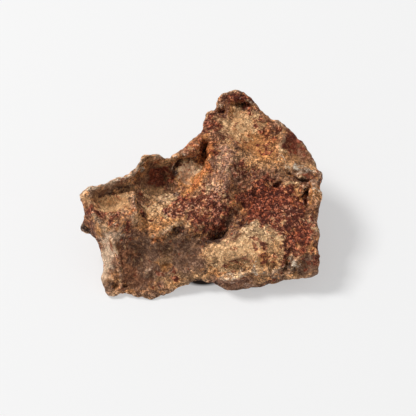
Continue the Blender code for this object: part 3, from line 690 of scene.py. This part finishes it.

# %% [markdown]
# Spots and lines come last, since nothing may cover them: dark pits and cracks, partly painted
# shade in slits, slots and hollows and under the rim and flake; rust-red stains; ochre seams; and
# the pale edges of the block, of the flake and of the lobe's rim, bare metal with a painted highlight.

# %% The wash, spots and lines
SMALL = [
    # left block
    # ash on the rim's corner: bare metal with a painted highlight
    (ASH, (-25.2, 24.2), (1.8, 1.0), 10, 0.7), (BROWN, (-22.6, 23.3), (1.5, 0.7), 20, 0.6),
    (STRAW, (-20.2, 21.2), (4.2, 2.2), 8, 0.5), (STRAW, (-15.9, 22.9), (1.0, 1.1), 0, 0.6),
    (RED_RUST, (-25.4, 20.8), (1.1, 1.1), 0, 0.7), (RED_RUST, (-22.4, 18.3), (1.2, 1.2), 0, 0.7),
    (ORANGE, (-15.4, 19.8), (1.4, 1.3), 0, 0.7), (MAROON, (-18.8, 16.7), (2.8, 1.2), 0, 0.5),
    # near-black umber on the low spur at the left: painted shade
    (UMBER * 0.6, (-26.2, 15.6), (1.4, 1.3), 0, 1.0),
    # second bowl, pocket and knob
    (ASH, (-14.0, 29.4), (0.8, 2.0), -30, 0.8), (UMBER, (-13.9, 21.6), (0.6, 2.6), 0, 0.7),
    (ORANGE, (-10.7, 30.6), (1.2, 0.8), 0, 0.5), (MAROON, (-8.7, 28.0), (1.6, 1.6), 0, 0.8),
    # umber at (-5.6, 29.6): painted shade in the crack under the knob
    (MAROON, (-9.6, 26.2), (1.3, 0.9), 0, 0.8), (UMBER, (-5.6, 29.6), (0.7, 1.9), -20, 0.9),
    (MAROON, (-12.8, 18.5), (1.0, 0.8), 0, 0.9), (MAROON, (-7.9, 19.3), (0.7, 0.9), 0, 0.9),
    (MAROON, (-5.6, 22.9), (0.9, 0.7), 0, 0.8), (ASH, (-8.6, 22.4), (2.4, 1.4), 0, 0.4),
    (OCHRE, (-2.6, 24.2), (1.6, 1.4), 0, 0.7),
    # front wall and facet
    (ORANGE, (-8.7, 14.4), (2.6, 0.7), 8, 0.5), (UMBER, (-5.6, 14.8), (1.7, 1.3), 0, 0.8),
    (OCHRE, (-7.8, 7.7), (2.0, 1.0), -8, 0.9), (OCHRE, (-5.8, 4.0), (2.2, 1.0), 8, 0.8),
    (OCHRE, (-10.4, 2.4), (1.4, 1.0), 0, 0.5), (UMBER, (-19.2, 2.6), (1.1, 0.9), 0, 0.5),
    # long ridge
    # umber in the slit: painted shade
    (UMBER, (1.1, 33.4), (0.8, 2.4), 5, 1.0), (OCHRE, (0.2, 28.4), (0.9, 2.4), -25, 0.8),
    # peak, shoulder and flake
    (MAROON, (0.4, 36.6), (1.0, 1.3), 0, 0.7), (MAROON, (2.9, 41.3), (1.3, 1.4), 0, 0.8),
    # umber under the cap and below the knob: painted shade in these hollows
    (UMBER, (9.9, 44.0), (2.0, 0.7), -5, 1.0), (UMBER, (4.7, 42.3), (0.9, 0.6), 0, 0.8),
    (OCHRE, (7.0, 42.6), (1.8, 0.8), 0, 0.8), (STRAW, (8.2, 38.4), (2.6, 2.2), 0, 0.2),
    (MAROON, (6.7, 35.7), (1.1, 0.7), 0, 0.7), (MAROON, (10.9, 41.9), (1.2, 0.8), 0, 0.6),
    (RED_RUST, (15.0, 37.9), (1.6, 0.9), 0, 0.8), (ORANGE, (16.2, 36.2), (1.6, 0.9), 0, 0.7),
    (MAROON, (14.8, 33.9), (2.3, 0.7), 0, 0.8), (STRAW, (18.4, 33.4), (0.7, 1.8), 0, 0.6),
    (MAROON, (21.6, 34.8), (1.2, 1.1), 0, 0.8), (MAROON, (20.4, 37.2), (1.4, 0.8), -40, 0.6),
    # rusty hollow, right edge and valley
    # maroon times 0.45 at the pit: partly dark oxide, partly painted shade of the pit
    (STRAW, (21.0, 26.0), (2.1, 0.9), -8, 0.9), (MAROON * 0.45, (17.9, 25.7), (2.6, 1.5), 18, 1.0),
    # umber under the flake: painted shadow of the flake
    (UMBER, (22.4, 26.8), (2.4, 0.4), -8, 0.8), (ORANGE, (12.2, 25.6), (1.4, 0.8), 0, 0.8),
    # umber at (24.0, 22.8): painted shade in the slot
    (UMBER, (13.0, 22.4), (1.9, 1.2), 0, 0.7), (UMBER, (24.0, 22.8), (0.8, 2.6), -8, 0.9),
    (OCHRE, (25.5, 23.2), (0.9, 1.9), -5, 0.7), (ORANGE, (18.8, 19.4), (2.4, 2.0), 0, 0.6),
    # umber at (3.8, 13.7): painted shade in the valley's groove
    (MAROON, (9.5, 17.2), (0.7, 1.4), -20, 0.8), (UMBER, (3.8, 13.7), (1.9, 0.9), 15, 1.0),
    (STRAW * 0.9, (12.9, 15.2), (2.6, 1.4), 0, 0.8),
    # lower lobe
    (MAROON, (12.5, 11.2), (1.1, 0.8), 0, 0.6), (OCHRE, (2.3, 5.7), (1.6, 1.2), 0, 0.8),
    # umber at (9.2, 8.5): painted shade behind the lobe's rim
    (OCHRE, (16.6, 7.4), (2.8, 1.0), 0, 0.6), (UMBER, (9.2, 8.5), (2.6, 0.4), 0, 0.6),
    # umber in the lobe's slot: painted shade; ash at its corner: bare metal with a painted highlight
    (UMBER, (19.4, 7.6), (0.5, 1.4), 0, 0.8), (ASH, (21.0, 7.2), (1.3, 1.5), -30, 0.6),
]
wash = painted(wash, SMALL)
LINES = [
    # left block
    # ash along the rim: bare metal with a painted highlight
    (ASH, [(-26.0, 24.6), (-23.4, 25.1), (-20.4, 26.1), (-16.8, 27.2), (-14.8, 28.4)], 0.9, 0.9),
    # umber under the rim: painted shadow cast by the rim on the bowl
    (UMBER, [(-24.6, 23.6), (-22.0, 24.2), (-19.0, 24.9), (-16.0, 25.6)], 0.45, 0.5),
    # ash along the rim: bare metal with a painted highlight
    (ASH, [(-14.9, 27.6), (-14.0, 29.2), (-13.1, 31.0)], 0.8, 0.9),
    # umber under the rim: painted shadow cast by the rim on the bowl
    (UMBER, [(-21.8, 23.9), (-20.3, 23.6), (-17.8, 23.7), (-15.4, 24.6)], 0.35, 0.5),
    # second bowl, pocket and knob
    (MAROON * 0.4, [(-13.4, 19.8), (-12.9, 18.9), (-12.0, 18.6), (-11.6, 17.8)], 0.65, 1.0),
    (MAROON * 0.4, [(-8.4, 20.4), (-7.9, 19.4), (-8.3, 18.4)], 0.55, 1.0),
    (MAROON * 0.4, [(-6.8, 23.4), (-5.8, 23.0), (-5.2, 22.2), (-4.6, 21.2)], 0.6, 1.0),
    # umber under the knob: painted shade in the crack
    (UMBER, [(-6.2, 28.2), (-5.6, 29.8), (-4.4, 31.0), (-2.4, 31.4), (-0.6, 31.8)], 0.8, 1.0),
    # brown: painted shade on the ridge's side away from the lamp
    (BROWN, [(-13.4, 25.4), (-13.6, 22.6), (-13.4, 20.0)], 0.9, 0.8),
    (UMBER, [(-12.0, 31.0), (-13.4, 28.6), (-14.2, 26.4)], 0.7, 0.6),
    # front wall and facet
    # near-black umber under the arch: painted shade of its underside
    (UMBER * 0.4, [(-1.8, 3.9), (1.0, 3.5), (3.4, 2.9), (4.8, 2.4)], 0.8, 0.9),
    (STRAW, [(-17.8, 3.2), (-18.2, 6.0), (-18.6, 9.4), (-19.0, 12.0)], 0.5, 0.9),
    (STRAW, [(-6.6, 14.6), (-6.9, 16.0), (-5.6, 16.9), (-4.0, 16.4)], 0.35, 0.6),
    (OCHRE, [(-11.8, 14.2), (-9.6, 14.1), (-7.6, 14.8)], 0.6, 0.6),
    (ASH, [(-12.6, 4.4), (-11.9, 5.6), (-11.2, 6.8)], 0.5, 0.5),
    # long ridge
    (OCHRE * 1.2, [(2.2, 33.6), (1.9, 31.4), (0.6, 29.0), (-0.8, 26.8), (-2.2, 25.0)], 0.9, 0.9),
    # umber in the slit: painted shade
    (UMBER, [(0.8, 35.4), (1.2, 34.2), (1.1, 32.6), (0.5, 30.6)], 0.7, 1.0),
    (ORANGE, [(1.9, 33.4), (1.6, 31.0), (0.4, 28.4), (-0.8, 26.0), (-2.8, 23.6)], 1.2, 0.7),
    (OCHRE, [(1.4, 31.4), (0.2, 28.8), (-1.0, 26.6)], 0.8, 0.9),
    # peak, shoulder and flake
    # ash on the flake's edge: bare metal with a painted highlight
    (ASH, [(19.6, 30.4), (21.4, 29.8), (24.0, 29.2), (26.4, 28.2)], 0.45, 0.9),
    # ash on the flake's edge: bare metal with a painted highlight
    (ASH, [(20.8, 28.6), (22.4, 28.1), (24.8, 27.6)], 0.45, 0.9),
    # umber under the flake: painted shadow of the flake
    (UMBER, [(18.8, 28.8), (20.3, 27.8), (22.3, 26.8), (24.0, 26.5), (25.8, 26.9)], 0.5, 0.8),
    # rusty hollow, right edge and valley
    # near-black umber in the slot: painted shade
    (UMBER * 0.4, [(24.7, 25.2), (24.1, 23.8), (23.7, 22.0), (24.0, 20.4)], 0.6, 1.0),
    (MAROON, [(9.9, 18.6), (9.6, 17.2), (8.8, 16.0)], 0.6, 0.9),
    # lower lobe
    # umber in the valley's groove: painted shade
    (UMBER, [(2.2, 12.9), (4.0, 13.9), (5.8, 15.2)], 0.8, 0.8),
    (MAROON, [(5.4, 7.9), (7.2, 8.3), (9.2, 8.5), (11.2, 8.1)], 0.5, 0.8),
    # near-black umber in the lobe's slot: painted shade
    (UMBER * 0.4, [(19.8, 9.2), (19.7, 7.6), (19.2, 6.2)], 0.55, 1.0),
    # umber behind the lobe's rim: painted shade in the recess
    (UMBER * 0.6, [(9.4, 6.6), (11.0, 6.9), (12.4, 6.6)], 0.45, 0.8),
    # umber along the lobe's bottom edge: painted contact shadow
    (UMBER * 0.8, [(7.0, 0.6), (11.0, 1.2), (15.0, 2.4), (19.6, 3.6)], 1.0, 0.9),
    # ash along the lobe's rim: bare metal with a painted highlight
    (ASH, [(4.6, 4.7), (7.4, 4.8), (9.8, 5.7), (12.2, 6.7)], 0.4, 0.8),
]
for colour, line, half_width, strength in LINES:
    weight, _ = brush.band(line, half_width)
    wash = blend(wash, colour, np.clip(weight * 1.8, 0, 1) * strength)
print(len(SMALL), "small dabs and", len(LINES), "lines")

# %% [markdown]
# ## Stipple, bare metal and painted glints
#
# Over the wash lie crumbs of maroon rust, crumbs of pale rust and rubbed metal. Each has its own
# mask that says how thick it lies. The shader turns the masks into grains and threads, which are
# finer than the mesh. Metal is rubbed bare on rims and edges only: along the block's rim, on the
# flake, and on the lobe's rim and corner. Its near-white colour is partly a painted glint, a
# highlight painted where the lamp would catch the bare metal.

# %% Masks for the stipple
RUST_CRUMBS = [
    # left block
    ((-23.5, 19.4), (3.2, 1.8), -30, 0.7), ((-18.5, 18.0), (4.5, 1.4), 0, 0.5),
    # second bowl, pocket and knob
    ((-9.0, 28.0), (3.5, 3.0), 0, 0.7), ((-12.8, 18.6), (1.4, 1.1), 0, 0.9),
    ((-1.4, 34.0), (3.4, 2.8), 0, 0.35),
    # front wall and facet
    ((-7.8, 5.4), (3.4, 1.6), 0, 0.5),
    # long ridge
    ((-4.0, 20.6), (5.5, 3.6), 0, 0.9), ((2.0, 20.0), (6.5, 5.5), 0, 0.8),
    ((3.2, 32.4), (1.8, 6.0), 0, 0.35),
    # peak, shoulder and flake
    ((2.4, 39.6), (2.4, 4.0), 0, 0.7), ((8.4, 45.4), (4.6, 2.0), 0, 0.7),
    ((9.4, 28.6), (3.6, 3.4), 0, 0.5), ((13.2, 40.4), (4.6, 1.8), -35, 0.4),
    ((15.4, 36.4), (3.4, 3.4), 0, 0.3), ((14.8, 33.9), (2.4, 0.9), 0, 0.9),
    ((6.8, 35.7), (1.3, 0.8), 0, 0.9), ((10.9, 41.9), (1.4, 0.8), 0, 0.8),
    ((21.4, 35.0), (3.0, 4.4), 30, 0.7),
    # rusty hollow, right edge and valley
    ((15.8, 21.6), (8.4, 6.6), 0, 1.0), ((21.2, 15.4), (4.0, 6.6), 0, 0.9),
    ((21.0, 21.0), (2.6, 2.6), 0, 0.9), ((3.6, 15.6), (4.0, 2.6), 0, 0.45),
    # lower lobe
    ((13.4, 12.0), (3.8, 2.6), -20, 0.66), ((19.8, 10.6), (2.2, 3.0), 0, 0.85),
    ((16.6, 8.2), (3.6, 2.0), 0, 0.5), ((5.6, 7.9), (4.0, 0.9), 0, 0.5),
    ((25.4, 9.0), (2.4, 3.4), 0, 0.5),
]
PALE_CRUMBS = [
    # left block
    ((-20.0, 19.0), (4.4, 2.0), 0, 0.5),
    # second bowl, pocket and knob
    ((-10.0, 21.0), (5.4, 5.0), 0, 0.7),
    # front wall and facet
    ((-12.0, 8.0), (8.0, 7.0), 0, 0.1),
    # long ridge
    ((-3.0, 19.8), (4.4, 3.2), 0, 0.8), ((3.0, 23.4), (5.0, 4.0), 0, 0.6),
    ((7.4, 30.4), (4.0, 5.0), 0, 0.5),
    # peak, shoulder and flake
    ((9.0, 38.6), (6.0, 5.0), 0, 0.7), ((18.4, 32.4), (1.2, 2.4), 0, 0.8),
    # rusty hollow, right edge and valley
    ((12.6, 14.4), (6.0, 3.4), 0, 0.9), ((17.6, 18.6), (5.0, 3.6), 0, 0.5),
    ((25.6, 17.0), (1.8, 5.0), 0, 0.6),
    # lower lobe
    ((9.0, 10.4), (7.4, 3.2), 8, 0.8),
]
# rims and edges of bare metal, painted near white as a glint
METAL_AND_GLINT = [
    # left block
    ((-25.0, 24.6), (2.0, 0.9), 12, 0.5), ((-19.0, 26.2), (3.6, 0.7), 16, 0.45),
    # second bowl, pocket and knob
    ((-13.9, 29.6), (0.7, 2.0), -30, 0.9),
    # front wall and facet
    ((-1.0, 12.4), (1.2, 0.6), 0, 0.3), ((-21.0, 8.0), (1.6, 6.4), 8, 0.25),
    # peak, shoulder and flake
    ((23.2, 29.3), (2.6, 0.7), -8, 0.9), ((19.4, 30.2), (1.4, 0.6), -10, 0.8),
    ((18.6, 30.2), (1.6, 0.8), -10, 0.5), ((23.0, 28.2), (2.8, 0.9), -10, 0.4),
    # rusty hollow, right edge and valley
    ((26.6, 24.2), (0.7, 2.0), 0, 0.7),
    # lower lobe
    ((9.4, 5.3), (1.9, 0.7), 22, 1.0), ((12.0, 6.6), (1.1, 0.45), 30, 0.8),
    ((7.2, 4.5), (1.5, 0.6), 5, 0.9), ((21.2, 7.4), (1.1, 1.7), -30, 1.0),
    ((21.6, 8.2), (0.7, 0.7), 0, 0.7), ((9.0, 3.2), (5.0, 1.3), 0, 0.35),
]


def mask(dabs, elsewhere):
    """The strongest dab at each corner; elsewhere is used where the show side ends."""
    shown = np.clip(surface.facing @ np.array(SIGHT) * 4 + 0.6, 0, 1)
    values = np.zeros(surface.count)
    for place, half_sizes, turn, strength in dabs:
        weight, _ = brush.oval(place, half_sizes, turn)
        values = np.maximum(values, np.clip(weight * 1.8, 0, 1) * strength)
    return values * shown + np.clip(elsewhere, 0, 1) * (1 - shown)


rust_crumbs = mask(RUST_CRUMBS, 0.45 - slow * 0.9)
pale_crumbs = mask(PALE_CRUMBS, 0.2 + patchy * 1.2)
metal_and_glint = mask(METAL_AND_GLINT, -bowls * 0.8 - 0.35)
metal_and_glint = np.clip(metal_and_glint - 0.5 * pits, 0, 1)
print("bare metal on", round(float(metal_and_glint.mean()) * 100, 1), "% of the surface")

# %% [markdown]
# The mesh itself carries the wash and the masks, as attributes of its corners, so the paint stays
# on the lump wherever the lump goes.

# %% Store the wash and the masks on the mesh
layer = stone.data.color_attributes.new("wash", "FLOAT_COLOR", "POINT")
layer.data.foreach_set("color", np.column_stack((wash, np.ones(surface.count))).ravel())
for name, values in (
    ("rust_crumbs", rust_crumbs),
    ("pale_crumbs", pale_crumbs),
    ("metal_and_glint", metal_and_glint),
    ("pits", pits),
    ("crumbly", crumbly),
):
    layer = stone.data.attributes.new(name, "FLOAT", "POINT")
    layer.data.foreach_set("value", values)
print("attributes:", [layer.name for layer in stone.data.attributes])

# %% [markdown]
# ## Writing a shader as sums
#
# Wiring dozens of Math nodes by hand is slow to write and slower to read. A small class wraps a
# socket, so that an expression such as `1 - grain * 0.5` adds its own Math nodes. Every other node
# comes from one method, which takes the node's type, its settings and what goes into its sockets.


# %% A socket that can be calculated with
class Wire:
    def __init__(self, tree, socket):
        self.tree = tree
        self.socket = socket

    def node(self, kind, settings=None, inputs=None, out=0):
        made = self.tree.nodes.new(kind)
        for key, value in (settings or {}).items():
            setattr(made, key, value)
        for key, value in (inputs or {}).items():
            if isinstance(value, Wire):
                self.tree.links.new(value.socket, made.inputs[key])
            else:
                made.inputs[key].default_value = value
        return Wire(self.tree, made.outputs[out])

    def sum_of(self, operation, a, b, clamp=False):
        settings = {"operation": operation, "use_clamp": clamp}
        return self.node("ShaderNodeMath", settings, {0: a, 1: b})

    def __add__(self, other):
        return self.sum_of("ADD", self, other)

    def __radd__(self, other):
        return self.sum_of("ADD", other, self)

    def __sub__(self, other):
        return self.sum_of("SUBTRACT", self, other)

    def __rsub__(self, other):
        return self.sum_of("SUBTRACT", other, self)

    def __mul__(self, other):
        return self.sum_of("MULTIPLY", self, other)

    def __rmul__(self, other):
        return self.sum_of("MULTIPLY", other, self)

    def __truediv__(self, other):
        return self.sum_of("DIVIDE", self, other)

    def size(self):
        return self.sum_of("ABSOLUTE", self, 0.0)

    def clamped(self):
        return self.sum_of("ADD", self, 0.0, clamp=True)

    def mix_to(self, colour, share, blend_type="MIX"):
        """This colour mixed with another by that share."""
        if not isinstance(colour, Wire):
            colour = (*colour, 1.0)
        settings = {"data_type": "RGBA", "blend_type": blend_type}
        return self.node("ShaderNodeMix", settings, {0: share, 6: self, 7: colour}, out=2)


print("wires ready")

# %% [markdown]
# ## The weathered crust
#
# Close up, the crust is a felt of short curly threads of swollen rust, with dark cracks between
# them and tiny scales that each have their own tone. Such threads lie where a noise crosses its
# middle value. The coordinates that go into the noise are first bent by another noise, or the
# threads would look like the rings of a map. A plain noise of grains would only look like sand.

# %% Material: threads, cracks and scales
crust = bpy.data.materials.new("weathered iron crust")
crust.use_nodes = True
tree = crust.node_tree
shader = tree.nodes["Principled BSDF"]
source = Wire(tree, None)
position = source.node("ShaderNodeTexCoord", out="Object")


def attribute(name, out="Fac"):
    return source.node("ShaderNodeAttribute", {"attribute_name": name}, out=out)


def noise_at(where_to, size, detail=3.0, rough=0.55, out="Fac"):
    """Noise with lumps of about that size in millimetres."""
    inputs = {"Vector": where_to, "Scale": 1 / (size * MM), "Detail": detail, "Roughness": rough}
    return source.node("ShaderNodeTexNoise", inputs=inputs, out=out)


def bent(size, amount, shift):
    """The object's coordinates, moved along and pushed about, so that what lies in them curls."""
    start = source.node("ShaderNodeMapping", inputs={"Vector": position, "Location": shift})
    push = noise_at(start, size, detail=2.0, out="Color")
    inputs = {0: push, 1: (amount * MM,) * 3, 2: start}
    return source.node("ShaderNodeVectorMath", {"operation": "MULTIPLY_ADD"}, inputs)


def where(values, middle, softness):
    """Nothing well under the middle, one well over it, and a soft step between."""
    return ((values - middle) / softness + 0.5).clamped()


def threads(values, half_width, softness):
    """One along the lines where the noise crosses its middle, which makes curly threads."""
    return 1 - where((values - 0.5).size(), half_width, softness)


curly = bent(1.0, 2.0, (0.013, 0.009, -0.013))
scaly = bent(0.8, 1.2, (0.029, 0.020, -0.029))
bright_curls = threads(noise_at(curly, 1.15, 2.0), 0.050, 0.025)
dark_cracks = threads(noise_at(scaly, 1.3, 2.0), 0.037, 0.025)
rust_noise = noise_at(curly, 1.5, 4.0, 0.6)
pale_noise = noise_at(scaly, 1.5, 4.0, 0.6)
dust = noise_at(position, 0.5, 1.0)
clouds = noise_at(scaly, 3.2, 3.0)
flake_inputs = {"Vector": scaly, "Scale": 1 / (0.6 * MM)}
flakes = source.node("ShaderNodeTexVoronoi", {"feature": "F1"}, flake_inputs, out="Color")
flake_tone = source.node("ShaderNodeSeparateColor", inputs={0: flakes})
print("threads, cracks, scales and grains in", len(tree.nodes), "nodes")

# %% [markdown]
# The colour is built up as the crust is. The wash comes first. Pale and maroon crumbs cover it where
# their masks let them, then threads lighten it and cracks darken it, powder dusts the threads, pits
# go dark, and at last rubbed metal, painted near white as a glint, shows along the threads of the
# rims. Where the metal is sound, all of that fine work fades.

# %% Material: colour
crumbly_here = attribute("crumbly") * 0.8 + 0.2
rustiness = rust_noise + (attribute("rust_crumbs") - 1.0) * 0.24
rust_here = where(rustiness, 0.39, 0.04)
old_rust_here = where(rustiness, 0.44, 0.05)
pale_here = where(pale_noise + (attribute("pale_crumbs") - 1.0) * 0.24, 0.44, 0.05)
# bare metal and painted glint, strongest along the bright threads of the rims
metal_and_glint_here = where(bright_curls * 0.5 + attribute("metal_and_glint") * 0.75, 0.9, 0.3)
colour = attribute("wash", out="Color")
colour = colour.mix_to(OCHRE, where(flake_tone, 0.85, 0.1) * crumbly_here * crumbly_here * 0.5)
colour = colour.mix_to(STRAW, pale_here * 0.6)
colour = colour.mix_to(RED_RUST, rust_here * 0.75)
colour = colour.mix_to(MAROON, old_rust_here * (1 - bright_curls * 0.5) * 0.85)
fine_tone = bright_curls * 1.35 + (dust - 0.5) * 1.1 + (flake_tone - 0.5) * 0.6
light_and_dark = 0.86 + fine_tone * crumbly_here + (clouds - 0.5) * 0.6
greys = source.node("ShaderNodeCombineColor", inputs={i: light_and_dark for i in range(3)})
colour = colour.mix_to(greys, 1.0, "MULTIPLY")
dusty = attribute("pale_crumbs") * 0.5 + 0.3
powder = bright_curls * where(dust, 0.5, 0.3) * crumbly_here * dusty
colour = colour.mix_to(CREAM, powder * 0.45)
cracked = attribute("rust_crumbs") * 0.5 + 0.4
colour = colour.mix_to(MAROON * 0.55, dark_cracks * crumbly_here * cracked)
colour = colour.mix_to(UMBER * 0.7, (attribute("pits") * 0.45).clamped())
# rubbed metal in near white: partly bare metal, partly a painted glint
colour = colour.mix_to(RUBBED_METAL_AND_GLINT, metal_and_glint_here * 0.85)
tree.links.new(colour.socket, shader.inputs["Base Color"])
print("colour wired,", len(tree.nodes), "nodes so far")

# %% [markdown]
# Rust is dull, threads catch a little more light, and rubbed metal is smooth enough to glint. The
# bump gives threads, cracks and crumbs a height of their own, which is finer than the mesh.

# %% Material: sheen, metal and bump
roughness = 0.68 - metal_and_glint_here * 0.38 - bright_curls * 0.12
tree.links.new(roughness.clamped().socket, shader.inputs["Roughness"])
tree.links.new((metal_and_glint_here * 0.25).socket, shader.inputs["Metallic"])
heights = (bright_curls * 0.35 - dark_cracks * 0.35 + rust_noise + dust * 0.2) * crumbly_here
bump_inputs = {"Strength": 1.0, "Distance": 1.1 * MM, "Height": heights}
bump = source.node("ShaderNodeBump", inputs=bump_inputs)
tree.links.new(bump.socket, shader.inputs["Normal"])
shader.inputs["Specular IOR Level"].default_value = 0.25
stone.data.materials.append(crust)
print("crust has", len(tree.nodes), "nodes and covers", len(stone.data.polygons), "faces")

# %% [markdown]
# ## Putting it in the frame
#
# The finished crust takes the place of the plain solid, which stays for collision.

# %% Ride on the frame
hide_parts("meteorite")
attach(stone, "root")
print("crust box, mm:", [round(side * 1000, 1) for side in stone.dimensions])

# %% [markdown]
# ## The white table
#
# A specimen is shown on a white sheet. The sheet is lit a little from below, as on a light table,
# so that it stays pale and its shadows stay faint.

# %% White table
bpy.ops.object.select_all(action="DESELECT")
bpy.ops.mesh.primitive_plane_add(size=3.0, location=(0, 0, 0))
floor = bpy.context.object
floor.name = "white_table"
white = bpy.data.materials.new("white table")
white.use_nodes = True
sheet = white.node_tree.nodes["Principled BSDF"]
sheet.inputs["Roughness"].default_value = 0.8
sheet.inputs["Emission Strength"].default_value = 0.44
floor.data.materials.append(white)
print("the table is", round(floor.dimensions.x, 1), "m wide")

# %% [markdown]
# The light from below would also fill the dark gap under the arch of the front edge, where the
# lump almost touches the sheet. So a shadow is painted on the sheet there: in an oval that fades
# out at its edge and lies mostly under the arch, the sheet doesn't glow and hardly reflects.

# %% Painted shadow under the arch
PAINTED_SHADOW_PLACE = (0.3 * MM, -16.5 * MM, 0.0)
PAINTED_SHADOW_HALF_SIZES = (4.0 * MM, 1.6 * MM, 1.0)
paper = Wire(white.node_tree, None)
spot = paper.node("ShaderNodeTexCoord", out="Object")
away = paper.node("ShaderNodeVectorMath", {"operation": "SUBTRACT"}, {0: spot, 1: PAINTED_SHADOW_PLACE})
share = paper.node("ShaderNodeVectorMath", {"operation": "DIVIDE"}, {0: away, 1: PAINTED_SHADOW_HALF_SIZES})
distance = paper.node("ShaderNodeVectorMath", {"operation": "LENGTH"}, {0: share}, out="Value")
outside_painted_shadow = ((distance - 0.62) / 0.5).clamped()
# inside the oval the sheet is painted dark: a painted contact shadow
for socket, tone in (("Emission Color", outside_painted_shadow), ("Base Color", outside_painted_shadow * 0.36 + 0.06)):
    grey = paper.node("ShaderNodeCombineColor", inputs={i: tone for i in range(3)})
    white.node_tree.links.new(grey.socket, sheet.inputs[socket])
print("the sheet's paper has", len(white.node_tree.nodes), "nodes")

# %% [markdown]
# ## Light
#
# One big soft lamp stands high behind the lump's left shoulder. It rakes over the hollows and
# leaves a faint shadow to the right. A plain white surround fills the rest.

# %% Soft light
world = bpy.data.worlds.new("studio")
bpy.context.scene.world = world
world.use_nodes = True
world.node_tree.nodes["Background"].inputs["Color"].default_value = (1.0, 1.0, 1.0, 1.0)
world.node_tree.nodes["Background"].inputs["Strength"].default_value = 0.38


def softbox(name, location, size, power):
    lamp = bpy.data.lights.new(name, "AREA")
    lamp.size = size
    lamp.energy = power
    box = bpy.data.objects.new(name, lamp)
    box.location = location
    box.rotation_euler = (-Vector(location)).to_track_quat("-Z", "Y").to_euler()
    bpy.context.scene.collection.objects.link(box)
    return box


key = softbox("key light", (-1.0, 0.44, 1.40), 0.55, 28.5)
print("key light", round(key.location.length, 2), "m away")

# %% [markdown]
# ## Camera
#
# The camera looks along the drawing's line of sight, so the drawing and the picture agree. A long
# lens from two thirds of a metre away keeps the lump's proportions, with hardly any perspective.

# %% Camera
LOOK_AT = (1.71, 20.31)  # the middle of the picture, on the drawing
SEEN_WIDTH = 94.9  # mm across the picture at the lump
LENS, SENSOR = 250.0, 36.0
MIDDLE_HEIGHT = 8.0  # mm above the table, where the picture's middle lies
depth = (LOOK_AT[1] - MIDDLE_HEIGHT * LIFT) / RISE
target = Vector((LOOK_AT[0], depth, MIDDLE_HEIGHT)) * MM
camera_data = bpy.data.cameras.new("camera")
camera_data.lens = LENS
camera_data.sensor_width = SENSOR
camera_data.clip_start = 0.01
camera = bpy.data.objects.new("camera", camera_data)
camera.location = DRAWING_FOOT + target + SIGHT * (SEEN_WIDTH * MM * LENS / SENSOR)
camera.rotation_euler = SIGHT.to_track_quat("Z", "Y").to_euler()
bpy.context.scene.collection.objects.link(camera)
bpy.context.scene.camera = camera
bpy.context.scene.view_settings.view_transform = "Standard"
print("camera", round(SEEN_WIDTH * MM * LENS / SENSOR, 2), "m from the lump")
